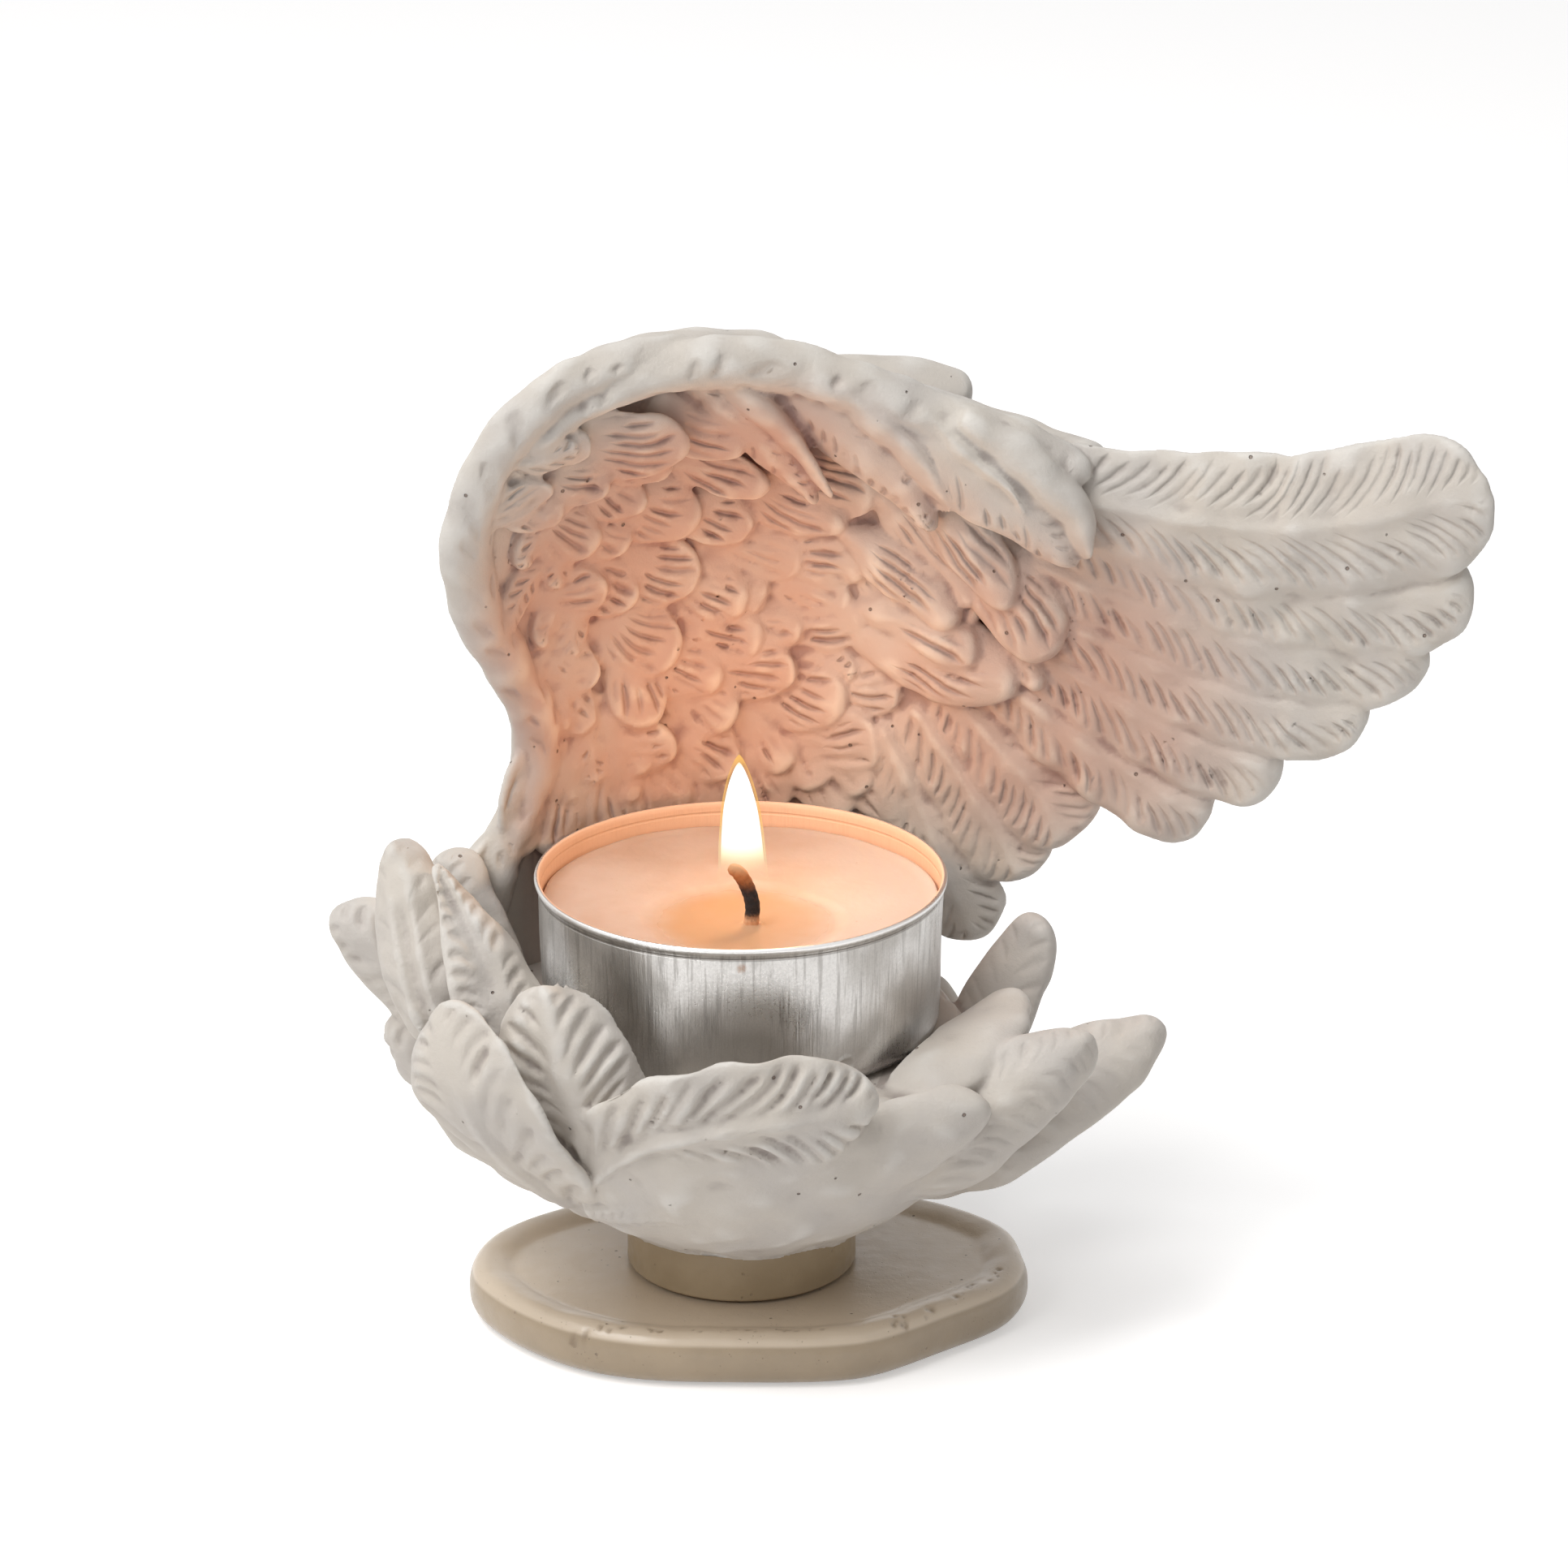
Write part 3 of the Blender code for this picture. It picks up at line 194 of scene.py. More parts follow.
# Node helpers
class Looks:
    # Short words for adding nodes to one material or node group
    def __init__(self, tree):
        self.tree = tree

    def node(self, kind, values=None, **settings):
        made = self.tree.nodes.new("ShaderNode" + kind)
        for key, value in settings.items():
            setattr(made, key, value)
        self.fill(made, values or {})
        return made

    def put(self, socket, value):
        if isinstance(value, bpy.types.NodeSocket):
            self.tree.links.new(value, socket)
        elif isinstance(value, tuple) and len(value) == 3 and socket.type == "RGBA":
            socket.default_value = (*value, 1.0)
        else:
            socket.default_value = value

    def fill(self, node, values):
        for key, value in values.items():
            self.put(node.inputs[key], value)

    def math(self, operation, *values, clamp=False):
        made = self.node("Math", dict(enumerate(values)), operation=operation, use_clamp=clamp)
        return made.outputs[0]

    def plus(self, first, second, clamp=False):
        return self.math("ADD", first, second, clamp=clamp)

    def less(self, first, second):
        return self.math("SUBTRACT", first, second)

    def times(self, first, second, clamp=False):
        return self.math("MULTIPLY", first, second, clamp=clamp)

    def vector(self, operation, first, second):
        made = self.node("VectorMath", {0: first, 1: second}, operation=operation)
        return made.outputs["Value" if operation in ("DISTANCE", "DOT_PRODUCT") else "Vector"]

    def flat(self, where):
        return self.vector("MULTIPLY", where, (1.0, 1.0, 0.0))

    def part(self, where, axis):
        return self.node("SeparateXYZ", {0: where}).outputs[axis]

    def mix(self, factor, first, second):
        made = self.node("Mix", data_type="RGBA", blend_type="MIX", clamp_factor=True)
        for index, value in ((0, factor), (6, first), (7, second)):
            self.put(made.inputs[index], value)
        return made.outputs[2]

    def remap(self, value, low, high, toLow=0.0, toHigh=1.0, smoothly=True):
        values = {"Value": value, "From Min": low, "From Max": high, "To Min": toLow, "To Max": toHigh}
        kind = "SMOOTHSTEP" if smoothly else "LINEAR"
        return self.node("MapRange", values, interpolation_type=kind).outputs[0]

    def place(self):
        # The point on the piece, in millimetres
        where = self.node("TexCoord").outputs["Object"]
        return self.vector("MULTIPLY", where, (1000.0, 1000.0, 1000.0))

    def noise(self, where, scale, detail=2.0, roughness=0.5):
        values = {"Vector": where, "Scale": scale, "Detail": detail, "Roughness": roughness}
        return self.node("TexNoise", values).outputs[0]

    def read(self, name):
        return self.node("Attribute", attribute_name=name, attribute_type="GEOMETRY").outputs["Fac"]

    def relief(self, height):
        # The normal of a skin that stands height millimetres above the mesh
        return self.node("Bump", {"Height": height, "Distance": 0.001, "Strength": 1.0}).outputs[0]

    def group(self, tree, values):
        made = self.tree.nodes.new("ShaderNodeGroup")
        made.node_tree = tree
        self.fill(made, values)
        return made.outputs[0]


def newLook(name, values):
    look = bpy.data.materials.new(name)
    look.use_nodes = True
    shader = look.node_tree.nodes["Principled BSDF"]
    looks = Looks(look.node_tree)
    looks.fill(shader, values)
    return look, looks, shader


def newGroup(name, inputs, output):
    # inputs are (name, socket kind) pairs, and the one output is a value
    tree = bpy.data.node_groups.new(name, "ShaderNodeTree")
    for title, kind in inputs:
        tree.interface.new_socket(title, in_out="INPUT", socket_type="NodeSocket" + kind)
    tree.interface.new_socket(output, in_out="OUTPUT", socket_type="NodeSocketFloat")
    given = tree.nodes.new("NodeGroupInput").outputs
    return tree, Looks(tree), given, tree.nodes.new("NodeGroupOutput").inputs[output]


def specksGroup():
    # Round specks that fade from Inner to Outer, kept only in the patches of a wide noise
    names = ("Scale", "Outer", "Inner", "Patch Scale", "Few", "Many")
    inputs = [("Vector", "Vector")] + [(name, "Float") for name in names]
    tree, looks, given, out = newGroup("specks in patches", inputs, "Specks")
    values = {"Vector": given["Vector"], "Scale": given["Scale"]}
    cells = looks.node("TexVoronoi", values, feature="F1")
    dots = looks.remap(cells.outputs["Distance"], given["Outer"], given["Inner"])
    patches = looks.noise(given["Vector"], given["Patch Scale"], 1.0)
    looks.put(out, looks.times(dots, looks.remap(patches, given["Few"], given["Many"])))
    return tree


specksTree = specksGroup()


def specks(looks, where, scale, outer, inner, patchScale, few, many):
    values = {"Vector": where, "Scale": scale, "Outer": outer, "Inner": inner,
              "Patch Scale": patchScale, "Few": few, "Many": many}
    return looks.group(specksTree, values)


# Feathers: where the carved strokes lie on each, worked out alike for the mesh and for the looks.
# Each stroke has its own start, end, strength and side step, picked from its number.
strokeSettings = {
    "fanSpread": 1.1,      # how the fan's strokes spread over a scallop
    "barbSlant": 1.6,      # how much a barb slants at the quill, along per across
    "barbTurn": 0.7,       # how much less it slants at the edge
    "inkWidth": 0.2,       # half the width of the look's stroke, its bump and painted shade, as a share of the pitch
    "start": 0.05,         # first start of a stroke on the way from quill to edge
    "startSpread": 0.4,    # how much later the others start
    "startEven": 0.8,      # how much less that is where strokes run longer
    "stop": 0.99,          # last end of a stroke
    "stopSpread": 0.3,     # how much earlier the others end
    "stopEven": 0.7,       # how much less that is where strokes run longer
    "taper": 0.2,          # length over which a stroke thins out at its ends
    "endWidth": 0.4,       # width at the ends, as a share of the full one
    "middle": 0.35,        # least side step within its place
    "sideStep": 0.3,       # how much the side steps differ
    "weakest": 0.45,       # depth of the weakest stroke, as a share of the deepest
    "missing": 0.2,        # share of strokes left out, where none run longer
    "missingFade": 0.1,
    "shake": 0.35,         # how much the look's stroke, its bump and painted shade, wanders from the carved one
    "randomTurn": 12.9898,
    "randomScale": 437.58,
    "otherSeed": 0.37,     # steps to a stroke's second and third random number
    "keptSeed": 0.71,
}
rule = strokeSettings


def randomOf(index):
    return np.modf(np.abs(np.sin(index * rule["randomTurn"])) * rule["randomScale"])[0]


def strokePlaces(along, across, edge, length, fan, pitch, seed):
    # Each point's stroke number, its way from quill to edge, and how deep strokes go there
    part = along / length
    slant = rule["barbSlant"] - rule["barbTurn"] * np.clip(edge, 0, 1)
    slanted = (along - np.abs(across) * slant) / pitch + np.where(across < 0, 0.0, 37.0)
    angle = np.arctan2(across, along + 0.35 * length)
    fanned = angle * length * rule["fanSpread"] / pitch
    phase = np.where(fan, fanned, slanted) + seed * 7.0 + 40.0
    phase = phase + 0.16 * np.sin(2.6 * edge + 1.3 * seed) + 0.22 * np.sin(0.55 * along + 2.1 * seed)
    reach = np.where(fan, (part - 0.2) / 0.76, edge)
    barbFade = smooth(part / 0.12) * smooth((1.0 - part) / 0.05)
    fade = np.where(fan, smooth((0.9 - edge) / 0.2), barbFade)
    return phase, reach, fade


def strokeCut(phase, reach, fade, halfWidth, longer=0.0):
    index = np.floor(phase)
    pick = randomOf(index)
    other = randomOf(index + rule["otherSeed"])
    kept = np.clip((randomOf(index + rule["keptSeed"]) - rule["missing"]) / rule["missingFade"], 0, 1)
    late = rule["startSpread"] * pick * (1 - rule["startEven"] * longer)
    early = rule["stopSpread"] * other * (1 - rule["stopEven"] * longer)
    mask = smooth((reach - rule["start"] - late) / rule["taper"])
    mask = mask * smooth((rule["stop"] - early - reach) / rule["taper"])
    width = halfWidth * (rule["endWidth"] + (1 - rule["endWidth"]) * mask)
    off = (phase - index - rule["middle"] - rule["sideStep"] * other) / width
    strength = rule["weakest"] + (1 - rule["weakest"]) * pick
    strength = strength + 0.5 * longer * (1 - strength)
    return np.exp(-off ** 2) * mask * fade * np.maximum(longer, kept) * strength


# Resin casting, as one wing and one bowl that overlap where they join
castingSettings = {
    "sampleStep": 0.30,      # spacing of the points on a feather
    "voxel": 0.27,
    "triangles": 196000,     # for each of the two pieces
    "seatMargin": 0.9,       # free ring round the tealight
    "swell": 0.0062,         # how uneven the surface is, per millimetre of wave
}
sampleStep = castingSettings["sampleStep"]
sampleColumns = 13       # point, way along, way across, distance along and across, half width, feather
solids = []
featherSamples = []
featherCuts = []


def addSolid(points, faces):
    solids.append((points, outward(points, faces)))


def addPlain(points):
    # Places with no strokes
    plain = np.zeros((len(points), sampleColumns))
    plain[:, :3] = points
    plain[:, -1] = -1
    featherSamples.append(plain)


def blade(spine, width, thick, face, root=0.6, tipAt=0.6, cup=0.0, dome=0.5, ridge=0.0,
          style="barbs", depth=0.0, pitch=1.8, seed=0, wave=0.0, lip=0.0, crisp=3.0, point=0.0,
          curl=(0.0, 0.0), valley=(0.0, 0.0), groove=0.2, ink=1.0, quill=0.0, longer=0.0):
    # One feather: a rounded strip along the spine, with its carved side towards face
    length = curveThrough(spine, [0.0])[1]
    count = max(12, int(length / sampleStep))
    s = 0.5 - 0.5 * np.cos(np.pi * np.linspace(0, 1, count))
    centre = curveThrough(spine, s)[0]
    tangent = unit(np.gradient(centre, s, axis=0))
    face = np.asarray(face, float)
    if face.ndim == 1:
        face = np.stack([face, face])
    if len(face) != count:
        steps = np.linspace(0, 1, len(face))
        face = np.stack([np.interp(s, steps, face[:, k]) for k in range(3)], axis=1)
    side = unit(np.cross(tangent, face))
    up = np.cross(side, tangent)
    # Outline: it widens from the root, then rounds off or comes to a point
    nose = np.clip(s - tipAt, 0, 1) / (1 - tipAt)
    blunt = np.sqrt(np.clip(1 - nose ** 2, 0.0006, 1))
    tip = (1 - point) * blunt + point * np.clip(1 - nose, 0.02, 1) ** 0.9
    half = 0.5 * width * (root + (1 - root) * smooth(s / 0.45)) * tip
    ends = np.sqrt(np.clip(1 - (np.clip(s - 0.93, 0, 1) / 0.07) ** 2, 0.01, 1))
    ends = ends * np.sqrt(np.clip(1 - (np.clip(0.08 - s, 0, 1) / 0.08) ** 2, 0.01, 1))
    number = max(9, int(width / sampleStep))
    t = np.sin(0.5 * np.pi * np.linspace(-1, 1, number))
    across = half[:, None] * t
    edge = np.broadcast_to(t, across.shape)
    along = np.broadcast_to((s * length)[:, None], across.shape)
    # Section: how far the strip bends, then what stands on its carved side
    body = 0.5 * thick * np.sqrt(np.clip(1 - np.abs(edge) ** crisp, 0, 1)) * ends[:, None]
    bend = cup * edge ** 2 * (half / half.max())[:, None]
    bend = bend + wave * np.sin(along * 1.1 + seed) * np.abs(edge) ** 3
    bend = bend + curl[0] * np.clip(-edge, 0, 1) ** 2 + curl[1] * np.clip(edge, 0, 1) ** 2
    bend = bend - valley[1] * np.exp(-((edge - valley[0]) / 0.28) ** 2) * smooth(s / 0.3)[:, None]
    top = body + dome * (1 - edge ** 2) * ends[:, None]
    top = top + ridge * np.exp(-(across / 0.7) ** 2) * (1 - s[:, None]) ** 0.4
    rim = np.maximum(np.abs(edge) ** 7, smooth((s[:, None] - 0.8) / 0.13))
    rim = rim * smooth((s[:, None] - 0.35) / 0.3)
    top = top + lip * rim * ends[:, None] * (1 - np.abs(edge) ** 30)
    shaft = np.exp(-(across / 0.55) ** 2) - 0.7 * np.exp(-((np.abs(across) - 1.15) / 0.5) ** 2)
    top = top + quill * shaft * smooth((1 - s[:, None]) / 0.5)
    if depth:
        places = strokePlaces(along, across, np.abs(edge), length, style == "fan", pitch, seed)
        cut = strokeCut(*places, groove, longer)
        top = top - depth * cut * ends[:, None]
    upper = centre[:, None] + side[:, None] * across[..., None] + up[:, None] * (top + bend)[..., None]
    lower = centre[:, None] + side[:, None] * across[..., None] + up[:, None] * (bend - body)[..., None]
    addSolid(*ringsToMesh(np.concatenate([upper, lower[:, -2:0:-1]], axis=1)))
    owner = len(featherCuts)
    featherCuts.append((length, style == "fan", pitch, seed, ink if depth else 0.0, longer))
    ways = [np.repeat(tangent, number, axis=0), np.repeat(side, number, axis=0)]
    carved = np.column_stack([upper.reshape(-1, 3), *ways, along.ravel(), across.ravel(),
                              np.repeat(half, number), np.full(across.size, owner)])
    featherSamples.append(carved)
    under = carved.copy()
    under[:, :3] = lower.reshape(-1, 3)
    under[:, -1] = -1
    featherSamples.append(under)


wingSettings = {
    "depth": 22.5,           # how far back the inner face lies at its deepest
    "shell": 3.6,            # the shell's thickness
    "hubX": 0.0,
    "hubZ": 55.0,
    "rimLength": 330.0,      # about the length of the shell's outline
    "hubToRim": 34.0,
    "rimRound": 1.9,         # width over which the shell thins to its rim
}


def wingDepth(x, z):
    # The wing's inner face, before the feathers: it curves forward at the left, the top and the right
    left = np.clip((4 - x) / 31, 0, 1.2)
    top = np.clip((z - 60) / 31, 0, 1.1)
    right = np.clip((x - 6) / 60, 0, 1.05)
    deep = wingSettings["depth"] - 15.5 * left ** 1.8
    return deep - 11 * top ** 1.5 * (1 - 0.8 * right) - 20.5 * right ** 1.25


def wingFace(x, z):
    step = 0.5
    across = (wingDepth(x + step, z) - wingDepth(x - step, z)) / (2 * step)
    upward = (wingDepth(x, z + step) - wingDepth(x, z - step)) / (2 * step)
    return np.stack([across, -np.ones_like(across), upward], axis=1)


def wingFeather(flat, width, lifts, back=False, tilt=0.0, **shape):
    # A feather laid on the wing along points (x, z), standing the lifts above it from root to tip
    s = np.linspace(0, 1, 12)
    line = curveThrough(flat, s)[0]
    x, z = line[:, 0], line[:, 1]
    lift = np.interp(s, np.linspace(0, 1, len(lifts)), lifts)
    face = wingFace(x, z) + (0, 0, tilt)
    if back:
        spine = np.stack([x, wingDepth(x, z) + wingSettings["shell"] + lift, z], axis=1)
        face = -face
    else:
        spine = np.stack([x, wingDepth(x, z) - lift, z], axis=1)
    blade(spine, width, face=face, **shape)


def wingShell():
    outline = [(-28.0, 33.0), (-26.5, 40.0), (-23.2, 43.5), (-21.6, 46.0), (-20.8, 49.5), (-21.5, 54.0),
               (-23.2, 57.5), (-25.2, 63.0), (-27.0, 68.0), (-27.0, 71.5), (-26.2, 76.0), (-24.0, 82.0),
               (-22.0, 85.3), (-19.0, 88.0), (-15.5, 90.2), (-11.0, 91.5), (-8.0, 91.8), (1.0, 91.2),
               (11.0, 87.5), (21.5, 84.0), (29.0, 81.8), (34.0, 79.0), (33.0, 70.0), (30.0, 62.0),
               (28.0, 54.0), (25.0, 47.0), (22.0, 41.0), (19.0, 35.0), (16.5, 29.0), (13.0, 23.0),
               (4.0, 20.5), (-8.0, 20.5), (-18.0, 21.5), (-25.0, 25.0), (-28.0, 33.0)]
    count = int(wingSettings["rimLength"] / sampleStep)
    rim = curveThrough(outline, np.linspace(0, 1, count, endpoint=False))[0]
    hub = np.array([wingSettings["hubX"], wingSettings["hubZ"]])
    steps = int(wingSettings["hubToRim"] / sampleStep)
    reach = np.sin(0.5 * np.pi * np.linspace(0.02, 1, steps))
    flat = hub + reach[:, None, None] * (rim - hub)
    x, z = flat[..., 0], flat[..., 1]
    front = wingDepth(x.ravel(), z.ravel()).reshape(x.shape)
    gone = np.linalg.norm(flat - rim, axis=-1)
    thinned = 1 - np.clip(gone / wingSettings["rimRound"], 0, 1)
    half = 0.5 * wingSettings["shell"] * np.sqrt(np.clip(1 - thinned ** 2, 0.0004, 1))
    middle = front + 0.5 * wingSettings["shell"]
    ahead = np.stack([x, middle - half, z], axis=-1)
    behind = np.stack([x, middle + half, z], axis=-1)
    addSolid(*ringsToMesh(np.concatenate([ahead, behind[-2::-1]])))
    for skin in (ahead, behind):
        addPlain(skin[::3, ::3].reshape(-1, 3))


# Crest: points (x, y, z), width, thickness, face, start of the tip, how pointed, dome, strokes' depth
crestFlaps = [
    ([(-9, 9.5, 88), (-3, 11.5, 89.0), (2.6, 13.5, 88.6)], 5.6, 3.4, (0.0, -0.6, 0.8), 0.6, 0.0, 0.5, 0.0),
    ([(2, 15, 85.4), (11, 18.5, 84.2), (16, 19.5, 83.6), (21.4, 20.5, 82.4)], 7.6, 3.4, (0.0, -0.55, 0.8),
     0.8, 0.0, 0.6, 0.0),
    ([(-4.6, 11.4, 87.4), (0.4, 12.4, 83.0), (4.0, 13.6, 78.8), (7.2, 14.8, 74.2)], 6.6, 1.5,
     (-0.45, -1, -0.1), 0.35, 0.6, 0.5, 0.45),
    ([(-2.4, 10.6, 88.2), (2.2, 10.8, 84.6), (5.6, 11.8, 80.0), (8.0, 13.6, 75.2)], 3.4, 2.0,
     (0.35, -1, 0.3), 0.25, 0.9, 0.7, 0.0),
    ([(3.6, 11.6, 87.0), (9.4, 11.4, 82.6), (14.0, 11.4, 78.0), (18.0, 12.2, 72.6)], 8.0, 1.5,
     (-0.5, -1, 0.0), 0.35, 0.6, 0.6, 0.5),
    ([(8.2, 10.2, 86.8), (13.4, 9.8, 83.0), (16.8, 9.8, 78.8), (18.6, 11.2, 74.4)], 3.6, 2.2,
     (0.4, -1, 0.3), 0.25, 0.9, 0.8, 0.0),
    ([(13.4, 10.6, 85.0), (19.8, 9.4, 80.6), (25.6, 8.6, 76.0), (31.0, 8.8, 70.0)], 10.4, 1.6,
     (-0.4, -1, 0.1), 0.4, 0.55, 0.8, 0.35),
    ([(19.4, 9.8, 84.0), (26.0, 8.4, 80.2), (30.4, 7.8, 75.6), (31.4, 8.2, 70.8)], 5.4, 2.4,
     (0.45, -1, 0.3), 0.35, 0.5, 0.9, 0.0),
    ([(16.6, 9.4, 84.6), (20.6, 8.4, 81.0), (24.4, 7.6, 77.8), (26.0, 7.8, 75.0)], 2.4, 1.4,
     (0.1, -1, 0.4), 0.4, 0.8, 0.5, 0.0),
    ([(-6.0, 9.8, 90.0), (0.0, 10.2, 88.6), (6.4, 11.0, 86.2), (12.0, 11.0, 83.6)], 2.6, 1.8,
     (0.0, -0.8, 0.6), 0.4, 0.8, 0.5, 0.0),
    ([(10.0, 11.0, 87.0), (16.0, 10.4, 85.2), (22.0, 10.0, 83.0), (28.6, 9.6, 80.4)], 2.6, 1.8,
     (0.0, -0.8, 0.6), 0.4, 0.8, 0.5, 0.0),
]


def wingEdges():
    # The rim at the left and over the top, then the crest's flaps
    leftRim = [(-24.0, 34), (-21.8, 43), (-18.6, 49), (-19.8, 56), (-23.4, 64), (-24.6, 72),
               (-23.0, 79.5), (-18.2, 86.0), (-10, 89.0), (-1, 89.2)]
    wingFeather(leftRim, 5.2, [0.3, 0.2, 0.2, 0.3, 0.4, 0.7], thick=2.6, root=0.8, tipAt=0.9, cup=-0.9,
                depth=0.55, pitch=3.1, ink=0.6, seed=31)
    topRim = [(-20, 82), (-14, 86.4), (-4, 89.0), (6, 87.6), (16, 84.0), (25, 80.8), (32, 78.6)]
    wingFeather(topRim, 5.6, [0.8, 1.4, 2.4, 3.4, 3.8, 2.8], thick=3.0, root=0.5, tipAt=0.85, dome=0.6,
                cup=-1.0, depth=0.7, pitch=3.4, ink=0.6, seed=37, longer=0.2)
    for i, (line, width, thick, face, tipAt, point, dome, depth) in enumerate(crestFlaps):
        blade(line, width, thick, face, tipAt=tipAt, point=point, dome=dome, cup=-0.3, depth=depth,
              pitch=1.7, seed=150 + i)


# Coverts, the small feathers inside the wing: x and z of the tip, the way it points in degrees,
# length, width and lift at the tip
coverts = [
    (-4.5, 81.6, -5, 9.5, 6.6, 3.0), (2.5, 75.0, -35, 9.5, 4.4, 2.4), (-12.0, 77.0, -25, 6.0, 4.6, 1.9),
    (-9.0, 74.0, -40, 5.5, 4.2, 1.7), (-4.0, 71.5, -35, 7.5, 6.2, 1.9), (1.0, 70.0, -35, 6.5, 4.8, 1.8),
    (-13.5, 70.5, -40, 6.0, 5.2, 1.8), (-10.5, 70.0, -40, 5.5, 4.6, 1.4), (-12.5, 65.5, -10, 5.5, 4.8, 1.8),
    (-10.0, 64.0, -40, 6.0, 5.2, 1.5), (-4.0, 65.0, -30, 7.0, 6.2, 1.8), (0.5, 62.5, -30, 7.0, 6.0, 1.7),
    (10.0, 71.0, -25, 9.5, 4.4, 2.4), (12.0, 67.0, -15, 10.0, 6.4, 2.2), (2.0, 58.5, -25, 6.5, 5.2, 1.8),
    (12.0, 61.5, 5, 9.5, 5.4, 2.2), (-6.0, 58.0, -35, 7.0, 6.6, 1.8), (5.5, 55.5, -10, 7.5, 5.2, 2.2),
    (10.0, 52.5, -20, 8.5, 7.0, 1.9), (-13.5, 56.5, -40, 5.5, 4.6, 1.4), (-9.0, 51.0, -85, 7.0, 5.2, 1.8),
    (-0.5, 51.0, -35, 6.0, 5.2, 1.6), (-6.0, 48.5, -15, 7.0, 4.4, 1.8), (-0.5, 45.5, -45, 7.0, 5.4, 1.5),
    (4.5, 45.5, -60, 6.0, 4.6, 1.4), (13.5, 49.0, 0, 8.5, 6.6, 2.0), (7.5, 43.5, -75, 6.5, 5.4, 1.5),
    (16.5, 66.5, -50, 7.0, 3.6, 2.0), (15.5, 61.5, -50, 6.5, 3.6, 2.2), (11.0, 55.5, -25, 5.0, 3.2, 1.5),
    (17.5, 58.5, -20, 6.0, 3.8, 2.6), (-20.5, 69.5, -125, 7.0, 2.8, 1.3), (-22.0, 63.0, -120, 8.0, 2.8, 1.2),
    (-19, 60.5, -120, 7.5, 2.8, 1.1), (-20.0, 54.5, -112, 8.5, 2.8, 1.1), (-17.0, 52.0, -105, 8.0, 2.8, 1.1),
    (-18.5, 47.5, -108, 8.5, 2.8, 1.1), (-14.0, 46.0, -90, 8.0, 3.4, 1.2), (-10.5, 43.5, -85, 7.5, 3.6, 1.2),
    (-16.5, 44.5, -105, 7, 2.8, 1.0), (-17.5, 66.5, -110, 7.5, 3.2, 1.2), (-16.0, 59.0, -100, 7.0, 3.2, 1.1),
    (-16.5, 74.5, -35, 6.0, 4.0, 1.5), (-13.5, 82.0, -10, 4.0, 3.6, 1.6), (6.0, 66.5, -25, 8.0, 5.4, 1.6),
    (-6.5, 78.0, -30, 7.0, 4.6, 1.7), (-14.5, 51.5, -70, 6.5, 4.4, 1.3), (-5.5, 42.0, -60, 7.0, 5.0, 1.3),
    (0.5, 40.5, -65, 6.5, 5.0, 1.2), (12.0, 43.5, -55, 7.0, 5.4, 1.6), (6.0, 59.5, -15, 6.5, 4.6, 1.7),
    (-9.0, 46.5, -60, 6.5, 4.4, 1.4), (15.5, 54.0, -10, 7.0, 5.0, 1.7), (-2.0, 54.5, -35, 6.5, 5.0, 1.6),
    (-14.6, 82.4, 8, 7.0, 3.4, 1.6), (-17.0, 78.4, 15, 7.0, 3.6, 1.5), (10.5, 62.4, -25, 7.0, 5.4, 2.0),
    (19.0, 54.5, -20, 6.5, 4.4, 1.6), (0.5, 80.0, -30, 8.0, 4.6, 2.6), (-18.6, 74.4, -150, 7.0, 3.0, 1.5),
    (-3.5, 40.6, -80, 8.0, 5.4, 1.0), (3.5, 41.0, -75, 8.0, 5.6, 1.1), (10.0, 40.8, -68, 8.5, 5.8, 1.2),
    (16.0, 41.6, -50, 8.0, 5.8, 1.3), (12.6, 73.6, -30, 9.0, 6.6, 1.7), (18.5, 63.0, -40, 7.5, 5.6, 1.5),
    (21.8, 61.4, -45, 8.0, 6.0, 2.8), (2.4, 62.9, -30, 7.0, 5.8, 1.4), (-17.5, 39.5, -100, 9.0, 5.6, 1.8),
    (-12.5, 39.8, -90, 8.5, 5.6, 1.5), (-21.0, 40.5, -105, 9.0, 4.6, 1.3), (-8.0, 40.0, -85, 8.5, 5.6, 1.2),
]

# Mid feathers in front of the primaries: points (x, z), width, lift at the tip
middleFeathers = [
    ([(9.0, 71.0), (15.0, 67.0), (20.2, 62.0)], 5.6, 3.4),
    ([(11.0, 62.5), (16.0, 61.5), (22.4, 58.6)], 6.0, 3.4),
    ([(10.5, 60.0), (18.0, 58.6), (26.0, 56.2)], 8.4, 3.0),
    ([(16.0, 76.0), (21.0, 71.0), (25.0, 64.6)], 5.6, 4.6),
    ([(21.0, 70.0), (25.0, 66.0), (28.6, 59.4)], 7.6, 4.2),
    ([(24.0, 61.0), (26.5, 58.6), (28.2, 56.4)], 3.6, 2.6),
    ([(12.0, 76.0), (17.0, 70.6), (21.8, 64.0)], 6.6, 2.4),
    ([(20.0, 73.0), (24.0, 68.0), (26.4, 63.0)], 5.0, 2.8),
]

